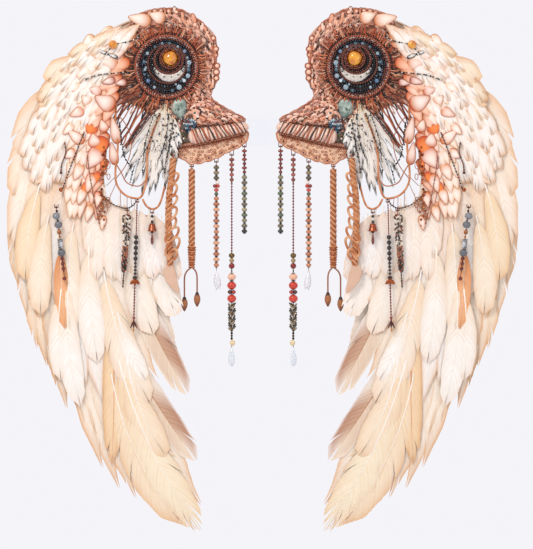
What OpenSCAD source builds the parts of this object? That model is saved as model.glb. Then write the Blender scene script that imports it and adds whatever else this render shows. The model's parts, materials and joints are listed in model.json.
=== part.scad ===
// A pair of feathered costume wings on a clear back yoke.
// +Z is up, the decorated faces look towards -Y, and the origin is the middle of the yoke's back face.
// Each wing is laid out in its own plane by (u, z): u outwards from the middle, z up.
// d is the depth in front of the wing's back face, towards -Y.

/* [Yoke and hinges] */
// Width of the clear yoke plate
yoke_w = 56; // [54:1:64]
// Height of the clear yoke plate
yoke_h = 34; // [32:1:44]
// Thickness of the clear yoke plate
yoke_t = 3; // [2:0.5:3]
// Distance between the harness holes across the yoke
harness_dx = 24; // [16:1:28]
// Distance between the harness holes up the yoke
harness_dz = 20; // [12:1:22]
// Radius of a harness hole
harness_hole_r = 2.2; // [1.5:0.1:2.6]
// Radius of the fold hinge pins
pin_r = 1.5; // [1:0.1:1.8]
// Radial clearance of every running fit
fit_gap = 0.05; // [0.02:0.01:0.1]

/* [Layers] */
// Thickness of the felt back panel
panel_t = 2; // [1:0.5:2]
// Radius of the armature wire
wire_r = 1.2; // [0.8:0.1:1.3]
// Thickness of one feather
feather_t = 0.35; // [0.2:0.05:0.4]
// Thickness of one shell petal
petal_t = 0.9; // [0.5:0.1:1]

/* [Rosette] */
// Radius of the rosette's base disc
rosette_r = 45; // [40:1:45]
// Radius of the amber cabochon
cabochon_r = 9.6; // [7:0.2:9.6]

/* [Ropes and strands] */
// Diameter of the twisted ropes
rope_d = 9; // [6:0.5:9]
// Diameter of the thin cords that end in pods
tail_d = 2; // [1.5:0.5:2.5]
// Radius of the small pins that the strands swing on
hanger_r = 1; // [0.8:0.1:1.1]

/* [Hidden] */
$fn = 64;
SIDES = ["left", "right"];
WING_NODES = ["wing_hinge_leaf", "leaf_rivets", "wing_frame", "back_panel", "primary_feathers",
              "secondary_feathers", "covert_feathers", "shell_petals", "crochet_panel",
              "rosette_disc", "rosette_rings", "amber_cabochon", "green_stone", "wrapped_horn",
              "lace_frill", "copper_loops", "fan_feathers", "looped_rope", "leather_tag",
              "twisted_rope", "pod_tails", "rose_strand", "coral_strand", "bronze_strand",
              "striped_strand", "garnet_strand", "grey_strand", "bell_drop"];

// Hinge: the axis stands behind the beak tip, and the wing's back face is standoff in front of the origin
standoff = 10;
hinge_u = 24;
hinge_d = -3.5;
barrel_r = 3.2;
knuckle_h = 9.4;
lug_z = [5, 13];
leaf_t = 1.2;
rivet_spots = [[36, 8], [36, -8], [54, 8], [54, -8]];
rivet_r = 1.6;

// Levels of the layers, as depths in front of the wing's back face
feather_step = 0.45;
stack = 6;
crochet_d = [4.8, 9];
inner_d = 5;
primary_d = inner_d + stack * feather_step;
secondary_d = primary_d + stack * feather_step + 0.1;
covert_d = secondary_d + stack * feather_step + 0.1;
fan_d = secondary_d + stack * feather_step + 0.2;
petal_d = 17.6;
loop_d = 19;
front_hang_d = 23;
frill_d = [5, 9];
under_hang_d = 7;

// Outline of the felt back panel
back_outline = [
    [119, 158], [84, 145], [62, 126], [60, 104], [62, 90], [60, 76], [68, 48], [40, 24], [28, 13],
    [28, -12], [60, -30], [95, -33], [112, -20], [124, 0], [150, 32], [180, 46], [200, 34], [202, -20],
    [206, -60], [198, -92], [164, -106], [140, -114], [134, -160], [138, -220], [152, -290],
    [178, -330], [214, -318], [256, -270], [290, -200], [308, -120], [304, -40], [290, 16],
    [266, 66], [236, 106], [200, 132], [160, 150]];

// Outline of the crochet from the crown down the neck to the top of the beak
crochet_outline = [
    [140, 160], [119, 161], [105, 159], [84, 147], [66, 129], [58, 106], [60, 92], [57, 75], [62, 60],
    [67, 47], [57, 37], [38, 26], [22, 15], [60, 10], [96, 5], [104, -12], [122, -20], [130, -4],
    [150, 26], [178, 38], [196, 30], [204, 50], [200, 92], [182, 128], [162, 152]];

// Armature wire: a spar from the hinge round the shoulder, and a rib down the long feathers
spar = [[46, 0], [80, 20], [100, 62], [140, 120], [190, 116], [246, 66], [280, -10], [288, -110],
        [262, -220], [200, -300]];
rib = [[192, 112], [214, 40], [222, -60], [204, -160], [176, -250]];

// Long feathers that make the lower edge: quill line and tips, from the outside inwards
primary_roots = [[306, -8], [276, -36], [240, -64], [206, -92], [176, -118]];
primary_tips = [[320, -198], [310, -240], [293, -281], [280, -304], [267, -329], [254, -360],
                [231, -378], [216, -394], [208, -436], [186, -463], [164, -476], [135, -493],
                [105, -508], [87, -520], [79, -484]];
// Banded feathers of the inner edge
inner_roots = [[188, -150], [160, -104]];
inner_tips = [[88, -425], [99, -338], [108, -312], [116, -284], [112, -226], [124, -166]];
// White feathers that lie over the long ones
secondary_roots = [[284, 60], [278, 10], [250, -30], [222, -60], [198, -98], [168, -108]];
secondary_tips = [[317, -30], [327, -84], [326, -150], [305, -176], [286, -214], [262, -232],
                  [244, -262], [228, -330], [208, -352], [188, -330], [170, -296], [152, -262],
                  [138, -222], [134, -168]];
// Short shoulder feathers: inner and outer quill lines
covert_inner = [[168, 144], [206, 118], [222, 76], [236, 30], [248, -14]];
covert_outer = [[190, 138], [232, 114], [258, 78], [280, 30], [292, -6]];
covert_rows = 10;
covert_columns = 3;
covert_l = 52;
// Shell petals: middle line of the band, from the crown down
petal_line = [[134, 144], [164, 134], [188, 108], [196, 76], [206, 40], [216, 4], [222, -32],
              [228, -66], [234, -98]];
// Fan of small feathers below the rosette
fan_root = [127, 34];
fan_tips = [[184, -34], [180, -62], [170, -72], [158, -82], [148, -83], [140, -78], [133, -60]];

rosette_at = [125, 85];
inner_rings_at = [122, 94];
cabochon_at = [120, 96];
stone_outline = [[99, 36], [104, 42], [114, 40], [118, 34], [115, 24], [108, 18], [102, 21]];

// The horn of the beak: middle line from its wide end to its tip
horn_base = [90, -5];
horn_tip = [21, 8];
horn_r = [8, 5];
horn_d = 5.3;

// Lace frill below the horn, with its scalloped lower edge
frill_outline = [[22, 1], [22, -10], [30, -18], [45, -26], [60, -34], [75, -38], [92, -40],
                 [104, -34], [114, -27], [122, -27], [122, -22], [103, -16], [90, -14.5], [60, -8.5]];

// Copper cord loops over the fan, as [u, depth, z]
loop_one = [[190, 10.7, 36], [191, loop_d, 10], [188, loop_d, -19], [191, loop_d, -48],
            [190, loop_d, -66], [181, loop_d, -80], [167, loop_d, -86], [157, loop_d, -83],
            [151, loop_d, -62], [150, loop_d, -30]];
loop_two = [[156, loop_d, -87], [151, loop_d, -96], [143.5, loop_d, -100], [136, loop_d, -97],
            [132, loop_d, -86], [131.5, loop_d, -66]];
loop_r = 1.4;

// Pivots of the hanging pieces, as [u, z]
bronze_at = [23.5, -19];
coral_at = [40, -30];
rose_at = [60, -39];
twisted_at = [92, -45];
looped_at = [116, -31];
bell_at = [143.5, -105];
garnet_at = [163, -91];
striped_at = [175.5, -102];
grey_at = [268, -98];

// How far each slanted strand leans outwards, in degrees
garnet_lean = 1.6;
striped_lean = 3.4;
grey_lean = -6.6;

eye_r = 2.2;
eye_w = 3;
neck = 4.5;
hanger_half_w = 2.6;

// Routes of the free cords, as [u, z]
looped_route = [[116, -35], [118, -58], [121, -80], [122, -102], [122, -125], [121, -149], [120, -173]];
twisted_route = [[92, -49], [92, -72], [92, -95], [92, -118], [92, -141], [92, -164]];
long_tail = [[94.6, -178.3], [97.5, -180], [100.5, -185], [101.5, -191], [101.5, -197],
             [101.5, -203], [101.5, -209], [101.5, -215]];
short_tail = [[89.4, -178.3], [87.5, -180], [85.5, -185], [85, -191], [85, -197], [85, -203], [85, -209]];
binding_end = -177;

// Beads of each strand from the top, as [length, radius]
bronze_beads = concat([for (i = [0:5]) [5.5, 2.8]], [for (i = [0:10]) [7, 3.3]]);
coral_beads = concat([for (i = [0:4]) [6.5, 2.9]], [for (i = [0:23]) [3.8, 1.1]],
                     [[8, 4], [6, 3.4], [9, 4], [5, 1.2], [10, 5.6], [12, 6], [6, 3.6], [12, 6]],
                     [for (i = [0:5]) [5.5, 4.4]], [for (i = [0:3]) [4.5, 1.6]],
                     [[9, 3.8], [2, 1], [26, 4.5]]);
rose_beads = concat([for (i = [0:2]) [7, 3.4]], [[5, 3], [5.5, 3.2], [5.5, 3.2], [5, 2.6]],
                    [for (i = [0:13]) [7.2, 3.3]], [[3, 0.9], [24, 5]]);
striped_beads = concat([for (i = [0:9]) [7.5, 6 - 0.25 * i]], [for (i = [0:4]) [4.5, 1.4]]);
garnet_beads = concat([for (i = [0:7]) [5, 1.1]], [for (i = [0:4]) [7, 3]], [for (i = [0:3]) [4.5, 2]],
                      [[8, 4.5]], [for (i = [0:9]) [4.2, 1.3]], [[18, 4]]);
grey_beads = concat([[6, 3], [10, 5.5], [10, 5.5], [7, 3], [9, 2], [12, 4.6], [10, 5.5]],
                    [for (i = [0:2]) [6, 2.6]], [for (i = [0:3]) [5, 1.2]]);
bell_beads = [[4, 2.2], [4, 2.2], [4, 2.2], [4, 2.8], [12, 5.6], [14, 2.6]];

function mix(a, b, t) = a + (b - a) * t;

// The point at t, from 0 to 1, along straight runs between points
function along(points, t) =
    let (s = t * (len(points) - 1), i = min(floor(s), len(points) - 2))
    mix(points[i], points[i + 1], s - i);

function unit(v) = v / norm(v);

// A point on a feather's bent shaft
function shaft(root, bend, tip, t) =
    (1 - t) * (1 - t) * root + 2 * t * (1 - t) * bend + t * t * tip;

// Half width of a vane at t, as a share of its widest half
function vane(t) = t < 0.6 ? 0.3 + 0.7 * sin(150 * t) : sqrt(max(0, 1 - pow((t - 0.6) / 0.4, 2)));

// Outline of a feather whose shaft bows outwards by a share of its length
function feather_outline(root, tip, width, bow, steps) =
    let (
        chord = tip - root,
        across = [-chord[1], chord[0]],
        bend = (root + tip) / 2 + bow * across,
        side = unit(across) * width / 2,
        left = [for (i = [0:steps - 1]) shaft(root, bend, tip, i / steps) + vane(i / steps) * side],
        right = [for (i = [steps - 1:-1:0]) shaft(root, bend, tip, i / steps) - vane(i / steps) * side]
    )
    concat(left, [tip], right);

// Where bead i starts along its strand
function bead_start(beads, i) = i == 0 ? 0 : bead_start(beads, i - 1) + beads[i - 1][0];

// Half section of a row of beads, from the top down
function bead_section(beads) =
    concat([[0, 0]],
           [for (i = [0:len(beads) - 1], q = [[0.5, 0.06], [1, 0.3], [1, 0.7], [0.5, 0.98]])
               [q[0] * beads[i][1], -bead_start(beads, i) - q[1] * beads[i][0]]],
           [[0, -bead_start(beads, len(beads))]]);

// A flat piece of thickness t whose back is at depth d
module slab(d, t) {
    translate([0, -d, 0]) rotate([90, 0, 0]) linear_extrude(t) children();
}

module place_wing(side) {
    mirror([side == "left" ? 1 : 0, 0, 0]) translate([0, -standoff, 0]) children();
}

module feather(root, tip, width, bow, d, steps = 8) {
    slab(d, feather_t) polygon(feather_outline(root, tip, width, bow, steps));
}

// A rod from a to b, both [u, depth, z]
module rod(a, b, r) {
    from = [a[0], -a[1], a[2]];
    to = [b[0], -b[1], b[2]];
    run = to - from;
    turn = atan2(run[1], run[0]);
    tilt = acos(run[2] / norm(run));
    translate(from) rotate([0, tilt, turn]) cylinder(h = norm(run), r = r);
}

// A cord swept along its route of [u, depth, z] points
module cord(route, r, sides) {
    n = len(route);
    points = [for (p = route) [p[0], -p[1], p[2]]];
    rings = [for (i = [0:n - 1])
        let (
            way = unit(points[min(i + 1, n - 1)] - points[max(i - 1, 0)]),
            across = unit(cross(way, [0, 1, 0])),
            out = cross(way, across)
        )
        for (k = [0:sides - 1])
            let (a = 360 * k / sides)
            points[i] + r * cos(a) * across + r * sin(a) * out];
    top = [for (k = [0:sides - 1]) k];
    bottom = [for (k = [sides - 1:-1:0]) (n - 1) * sides + k];
    walls = [for (i = [0:n - 2], k = [0:sides - 1])
        let (m = (k + 1) % sides)
        [i * sides + k, (i + 1) * sides + k, (i + 1) * sides + m, i * sides + m]];
    polyhedron(rings, concat([top], walls, [bottom]));
}

// A route of [u, z] points at one depth
function at_depth(route, d) = [for (p = route) [p[0], d, p[1]]];

// The small pin that a strand swings on, held by two wires that rise to their support
module hanger(at, d, support_d, rise) {
    for (s = [-1, 1]) {
        u = at[0] + s * hanger_half_w;
        rod([u, d, at[1] - 0.7], [u, support_d, at[1] + rise], 0.9);
    }
    translate([at[0] - hanger_half_w, -d, at[1]]) rotate([0, 90, 0])
        cylinder(h = 2 * hanger_half_w, r = hanger_r);
}

// The eye at the top of a hanging piece, round its pin, with the neck below it
module eye(at, d, drop = neck) {
    translate([at[0], -d, at[1]]) {
        difference() {
            union() {
                rotate([0, 90, 0]) cylinder(h = eye_w, r = eye_r, center = true);
                translate([0, 0, -drop]) cylinder(h = drop - 0.5, r = 0.8);
            }
            rotate([0, 90, 0]) cylinder(h = eye_w + 2, r = hanger_r + fit_gap, center = true);
        }
    }
}

module bead_strand(at, d, beads, lean = 0) {
    eye(at, d);
    translate([at[0], -d, at[1]]) rotate([0, -lean, 0]) translate([0, 0, 0.2 - neck])
        rotate_extrude() polygon(bead_section(beads));
}

module yoke_plate() {
    color("aliceblue") difference() {
        union() {
            translate([-yoke_w / 2, -yoke_t, -yoke_h / 2]) cube([yoke_w, yoke_t, yoke_h]);
            for (s = [-1, 1], m = [-1, 1])
                translate([s * hinge_u, 0, m > 0 ? lug_z[0] : -lug_z[1]]) {
                    translate([0, hinge_y(), 0]) cylinder(h = lug_z[1] - lug_z[0], r = barrel_r);
                    translate([-barrel_r, hinge_y(), 0])
                        cube([2 * barrel_r, -hinge_y() - yoke_t + 1, lug_z[1] - lug_z[0]]);
                }
        }
        for (s = [-1, 1])
            translate([s * hinge_u, hinge_y(), -yoke_h]) cylinder(h = 2 * yoke_h, r = pin_r);
        for (x = [-1, 1], z = [-1, 1])
            translate([x * harness_dx / 2, 1, z * harness_dz / 2]) rotate([90, 0, 0])
                cylinder(h = yoke_t + 2, r = harness_hole_r);
    }
}

function hinge_y() = -standoff - hinge_d;

module hinge_pin(side) {
    color("silver") translate([(side == "left" ? -1 : 1) * hinge_u, hinge_y(), -lug_z[1] - 1])
        cylinder(h = 2 * lug_z[1] + 2, r = pin_r);
}

module wing_hinge_leaf() {
    color("silver") difference() {
        union() {
            translate([hinge_u, -hinge_d, -knuckle_h / 2]) cylinder(h = knuckle_h, r = barrel_r);
            translate([hinge_u, 0, -knuckle_h / 2]) cube([8, leaf_t, knuckle_h]);
            translate([29, 0, -13]) cube([33, leaf_t, 26]);
        }
        translate([hinge_u, -hinge_d, -knuckle_h]) cylinder(h = 2 * knuckle_h, r = pin_r + fit_gap);
        for (p = rivet_spots) translate([p[0], 3, p[1]]) rotate([90, 0, 0]) cylinder(h = 5, r = rivet_r);
    }
}

module leaf_rivets() {
    color("rosybrown") for (p = rivet_spots) translate([p[0], 0, p[1]]) {
        translate([0, leaf_t, 0]) rotate([-90, 0, 0]) cylinder(h = 1, r1 = 3, r2 = 2);
        translate([0, leaf_t, 0]) rotate([90, 0, 0]) cylinder(h = leaf_t + panel_t, r = rivet_r);
    }
}

module wing_frame() {
    d = panel_t + wire_r + 0.1;
    color("dimgray") {
        cord(at_depth(spar, d), wire_r, 8);
        cord(at_depth(rib, d), wire_r, 8);
    }
}

module back_panel() {
    color("antiquewhite") difference() {
        slab(0, panel_t) polygon(back_outline);
        for (p = rivet_spots) translate([p[0], 1, p[1]]) rotate([90, 0, 0])
            cylinder(h = panel_t + 2, r = rivet_r);
    }
}

module primary_feathers() {
    last = len(primary_tips) - 1;
    color("blanchedalmond") {
        for (i = [0:last])
            feather(along(primary_roots, i / last), primary_tips[i], mix(30, 46, i / last),
                    mix(0.05, 0.18, i / last), primary_d + feather_step * (i % stack));
        for (i = [0:len(inner_tips) - 1])
            feather(along(inner_roots, i / (len(inner_tips) - 1)), inner_tips[i],
                    mix(44, 30, i / (len(inner_tips) - 1)), 0.08, inner_d + feather_step * i);
    }
}

module secondary_feathers() {
    last = len(secondary_tips) - 1;
    color("ivory") for (i = [0:last])
        feather(along(secondary_roots, i / last), secondary_tips[i], 32, 0.08,
                secondary_d + feather_step * (i % stack));
}

module covert_feathers() {
    color("seashell") for (i = [0:covert_rows - 1], k = [0:covert_columns - 1]) {
        t = i / (covert_rows - 1);
        root = mix(along(covert_inner, t), along(covert_outer, t), k / (covert_columns - 1));
        heading = mix(-38, -72, t);
        length = covert_l * mix(0.8, 1.1, t) * (k == covert_columns - 1 ? 0.8 : 1);
        feather(root, root + length * [cos(heading), sin(heading)], 22, 0.06,
                covert_d + feather_step * (covert_columns * (i % 3) + k), 6);
    }
}

module shell_petals() {
    rows = 9;
    color("mistyrose") for (i = [0:rows - 1], k = [0:1]) {
        t = i / (rows - 1);
        middle = along(petal_line, t);
        heading = mix(-15, -75, t);
        side = (k - 0.5) * 21 * [-sin(heading), cos(heading)];
        along_shift = (k - 0.5) * 12 * [cos(heading), sin(heading)];
        centre = middle + side + along_shift;
        slab(petal_d + 1.1 * (i % 2), petal_t) translate(centre) rotate(heading)
            polygon([for (a = [0:24:359]) [15 * cos(a), (8.5 - 1.6 * cos(a)) * sin(a)]]);
    }
}

module crochet_panel() {
    color("indianred") slab(crochet_d[0], crochet_d[1] - crochet_d[0]) polygon(crochet_outline);
}

module rosette_disc() {
    color("saddlebrown") translate([rosette_at[0], -crochet_d[1], rosette_at[1]])
        rotate([90, 0, 0]) cylinder(h = 4, r = rosette_r);
}

// A round cord ring of radius ring_r lying on the rosette's disc
module disc_ring(at, ring_r, tube_r) {
    translate([at[0], -crochet_d[1] - 4.05 - tube_r, at[1]]) rotate([90, 0, 0])
        rotate_extrude() translate([ring_r, 0]) circle(tube_r);
}

module rosette_rings() {
    color("sienna") {
        disc_ring(rosette_at, rosette_r - 3, 2.2);
        disc_ring(rosette_at, rosette_r - 10.5, 2.2);
        disc_ring(inner_rings_at, 18, 2.4);
        translate([cabochon_at[0], -crochet_d[1] - 4, cabochon_at[1]]) rotate([90, 0, 0]) difference() {
            cylinder(h = 4, r = cabochon_r + 1.7);
            translate([0, 0, -1]) cylinder(h = 6, r = cabochon_r + 0.1);
        }
    }
}

module amber_cabochon() {
    dome_h = 8;
    ball_r = (cabochon_r * cabochon_r + 25) / 10;
    color("orange") translate([cabochon_at[0], -crochet_d[1] - 4, cabochon_at[1]]) rotate([90, 0, 0])
        intersection() {
            cylinder(h = dome_h, r = cabochon_r);
            translate([0, 0, dome_h - ball_r]) sphere(ball_r);
        }
}

module green_stone() {
    color("darkseagreen") slab(crochet_d[1], 4) polygon(stone_outline);
}

module wrapped_horn() {
    run = norm(horn_tip - horn_base);
    lift = atan2(horn_tip[1] - horn_base[1], horn_base[0] - horn_tip[0]);
    color("linen") translate([horn_base[0], -horn_d - horn_r[0], horn_base[1]]) rotate([0, lift - 90, 0]) {
        cylinder(h = run, r1 = horn_r[0], r2 = horn_r[1]);
        sphere(horn_r[0]);
        translate([0, 0, run]) sphere(horn_r[1]);
    }
}

module lace_frill() {
    color("burlywood") {
        slab(frill_d[0], frill_d[1] - frill_d[0]) polygon(frill_outline);
        for (at = [bronze_at, coral_at, rose_at, twisted_at]) hanger(at, under_hang_d, under_hang_d, 9);
        hanger(looped_at, front_hang_d, 8, 6);
    }
}

module copper_loops() {
    color("peru") {
        cord(loop_one, loop_r, 8);
        cord(loop_two, loop_r, 8);
        hanger(bell_at, front_hang_d, loop_d, 5);
        hanger(garnet_at, front_hang_d, loop_d, 6);
        hanger(striped_at, front_hang_d, loop_d, 18);
        hanger(grey_at, front_hang_d, covert_d + 0.9, 3);
    }
}

module fan_feathers() {
    color("whitesmoke") for (i = [0:len(fan_tips) - 1])
        feather(fan_root, fan_tips[i], 17, 0.04 * (3 - i) / 3, fan_d + feather_step * i, 7);
}

module looped_rope() {
    color("sandybrown") {
        eye(looped_at, front_hang_d);
        cord(at_depth(looped_route, front_hang_d), rope_d / 2, 12);
    }
}

module leather_tag() {
    color("tan") slab(front_hang_d - 1.5, 3) polygon([
        [117, -173.4], [124, -173.4], [129, -180], [127, -190], [118, -203], [111, -211],
        [108.5, -205], [109.5, -192], [113, -180]]);
}

module twisted_rope() {
    color("sandybrown") {
        eye(twisted_at, under_hang_d);
        cord(at_depth(twisted_route, under_hang_d), rope_d / 2, 12);
        translate([92, -under_hang_d, binding_end]) cylinder(h = 16, r1 = 3.4, r2 = 5);
    }
}

module pod_tails() {
    color("sienna") {
        for (tail = [long_tail, short_tail]) {
            end = tail[len(tail) - 1];
            cord(at_depth(tail, under_hang_d), tail_d / 2, 8);
            translate([end[0], -under_hang_d, end[1] + 1]) rotate_extrude()
                polygon([[0, 0], [2, 0], [3.8, -6], [3.6, -12], [1.5, -18], [0, -19]]);
        }
    }
}

module rose_strand() {
    color("darksalmon") bead_strand(rose_at, under_hang_d, rose_beads);
}

module coral_strand() {
    color("tomato") bead_strand(coral_at, under_hang_d, coral_beads);
}

module bronze_strand() {
    color("darkolivegreen") bead_strand(bronze_at, under_hang_d, bronze_beads);
}

module striped_strand() {
    color("dimgray") bead_strand(striped_at, front_hang_d, striped_beads, striped_lean);
}

module garnet_strand() {
    color("maroon") bead_strand(garnet_at, front_hang_d, garnet_beads, garnet_lean);
}

module grey_strand() {
    color("slategray") bead_strand(grey_at, front_hang_d, grey_beads, grey_lean);
}

module bell_drop() {
    color("peru") bead_strand(bell_at, front_hang_d, bell_beads);
}

yoke_plate();
for (side = SIDES) {
    hinge_pin(side);
    place_wing(side) {
        wing_hinge_leaf();
        leaf_rivets();
        wing_frame();
        back_panel();
        primary_feathers();
        secondary_feathers();
        covert_feathers();
        shell_petals();
        crochet_panel();
        rosette_disc();
        rosette_rings();
        amber_cabochon();
        green_stone();
        wrapped_horn();
        lace_frill();
        copper_loops();
        fan_feathers();
        looped_rope();
        leather_tag();
        twisted_rope();
        pod_tails();
        rose_strand();
        coral_strand();
        bronze_strand();
        striped_strand();
        garnet_strand();
        grey_strand();
        bell_drop();
    }
}
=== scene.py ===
import json
from math import atan2, cos, pi, radians, sin, sqrt

import bmesh
import bpy
import numpy as np
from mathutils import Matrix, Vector


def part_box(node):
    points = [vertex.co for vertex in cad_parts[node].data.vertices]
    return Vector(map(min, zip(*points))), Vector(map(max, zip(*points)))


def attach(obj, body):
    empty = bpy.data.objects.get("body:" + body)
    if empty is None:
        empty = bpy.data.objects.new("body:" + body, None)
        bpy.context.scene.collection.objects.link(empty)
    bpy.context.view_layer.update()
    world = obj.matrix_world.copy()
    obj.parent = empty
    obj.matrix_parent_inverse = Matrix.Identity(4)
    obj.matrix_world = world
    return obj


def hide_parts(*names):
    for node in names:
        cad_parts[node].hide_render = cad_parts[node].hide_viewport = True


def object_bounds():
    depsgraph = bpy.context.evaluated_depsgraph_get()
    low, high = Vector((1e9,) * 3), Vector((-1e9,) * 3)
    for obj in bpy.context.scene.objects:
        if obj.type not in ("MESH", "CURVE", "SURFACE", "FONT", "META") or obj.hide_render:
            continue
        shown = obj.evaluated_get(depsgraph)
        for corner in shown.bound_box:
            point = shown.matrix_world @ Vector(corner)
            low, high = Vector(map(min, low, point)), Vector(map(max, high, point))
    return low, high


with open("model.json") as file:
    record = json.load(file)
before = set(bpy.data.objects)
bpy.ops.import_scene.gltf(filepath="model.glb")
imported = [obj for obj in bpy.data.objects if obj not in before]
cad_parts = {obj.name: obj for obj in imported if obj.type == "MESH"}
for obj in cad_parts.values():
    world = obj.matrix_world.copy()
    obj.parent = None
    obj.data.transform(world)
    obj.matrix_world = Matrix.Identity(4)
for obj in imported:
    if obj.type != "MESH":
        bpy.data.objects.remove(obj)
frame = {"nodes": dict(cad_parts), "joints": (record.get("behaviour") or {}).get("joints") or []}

CAD_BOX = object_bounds()
SIDES = (("left", -1), ("right", 1))
MM = 0.001
BACK_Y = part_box("back_panel_right")[1].y
ROPE_THICK, TAIL_THICK, THREAD_THICK = 0.009, 0.002, 0.0009


# ---------------------------------------------------------------- colours and curves


def rgb(code):
    """A hex colour as linear red, green and blue."""
    v = np.array([int(code[i:i + 2], 16) for i in (0, 2, 4)]) / 255
    return np.where(v <= 0.04045, v / 12.92, ((v + 0.055) / 1.055) ** 2.4)


def mix(a, b, t):
    """a at t = 0 and b at t = 1, and on a straight line between them."""
    return np.asarray(a) + (np.asarray(b) - np.asarray(a)) * t


def along(points, t):
    """The point at t, from 0 to 1, along a chain of points, each run taking an equal share of t."""
    points = np.asarray(points, float)
    s = np.clip(t, 0, 1) * (len(points) - 1)
    i = np.minimum(np.floor(s).astype(int), len(points) - 2)
    f = (s - i)[..., None] if np.ndim(s) else s - i
    return points[i] + (points[i + 1] - points[i]) * f


def smooth_path(points, n, closed=False):
    """n points along a Catmull-Rom curve through the given ones."""
    p = np.asarray(points, float)
    m = len(p)
    t = np.linspace(0, m if closed else m - 1, n, endpoint=not closed)
    i = np.minimum(np.floor(t).astype(int), m - 1 if closed else m - 2)
    f = (t - i)[:, None]
    if closed:
        a, b, c, d = (p[(i + k) % m] for k in (-1, 0, 1, 2))
    else:
        a, b, c, d = (p[np.clip(i + k, 0, m - 1)] for k in (-1, 0, 1, 2))
    return 0.5 * (2 * b + (c - a) * f + (2 * a - 5 * b + 4 * c - d) * f ** 2
                  + (3 * b - 3 * c + d - a) * f ** 3)


def toward(angle):
    """A unit step in (u, z) at an angle."""
    return np.array([cos(angle), sin(angle)])


def at_depth(points, depth):
    """(u, z) points as (u, depth, z) ones, at one depth or at a depth for each."""
    return np.insert(np.asarray(points, float), 1, depth, axis=1)


def pick(rnd, options):
    """One of some options, by one random draw."""
    return options[int(rnd.integers(len(options)))]


def unit(v):
    """Directions of length 1."""
    return v / np.maximum(np.linalg.norm(v, axis=-1, keepdims=True), 1e-9)


def circle(n):
    """n angles evenly round a full turn."""
    return np.linspace(0, 2 * pi, n, endpoint=False)


def oval(u, z, across, up, n, turn=0.0):
    """n (u, z) points round an ellipse of two radii, turned by an angle."""
    t = circle(n)
    x, y = across * np.cos(t), up * np.sin(t)
    return np.stack([u + x * cos(turn) - y * sin(turn), z + x * sin(turn) + y * cos(turn)], 1)


def run_along(points):
    """The distance walked at each point of a line."""
    return np.concatenate([[0], np.cumsum(np.linalg.norm(np.diff(points, axis=0), axis=1))])


def twice_area(outline):
    """Twice a closed outline's area, negative if it runs clockwise."""
    u, z = outline.T
    return np.sum(u * np.roll(z, -1) - np.roll(u, -1) * z)


def inward_steps(outline):
    """Unit steps into a closed outline, one at each of its (u, z) points."""
    way = unit(np.roll(outline, -1, 0) - np.roll(outline, 1, 0))
    return np.stack([-way[:, 1], way[:, 0]], 1) * np.sign(twice_area(outline))


def inside(points, outline):
    """Which (u, z) points lie inside a closed outline."""
    points, o = np.asarray(points, float), np.asarray(outline, float)
    hit = np.zeros(len(points), bool)
    for a, b in zip(o, np.roll(o, -1, 0)):
        cross = (a[1] > points[:, 1]) != (b[1] > points[:, 1])
        with np.errstate(divide="ignore", invalid="ignore"):
            x = a[0] + (points[:, 1] - a[1]) * (b[0] - a[0]) / (b[1] - a[1])
        hit ^= cross & (points[:, 0] < x)
    return hit


def to_world(points, sign):
    """A wing's own millimetres as metres in the frame, mirrored for the left wing."""
    p = np.asarray(points, float)
    return np.stack([sign * p[:, 0] * MM, BACK_Y - p[:, 1] * MM, p[:, 2] * MM], 1)


# ---------------------------------------------------------------- meshes


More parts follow.
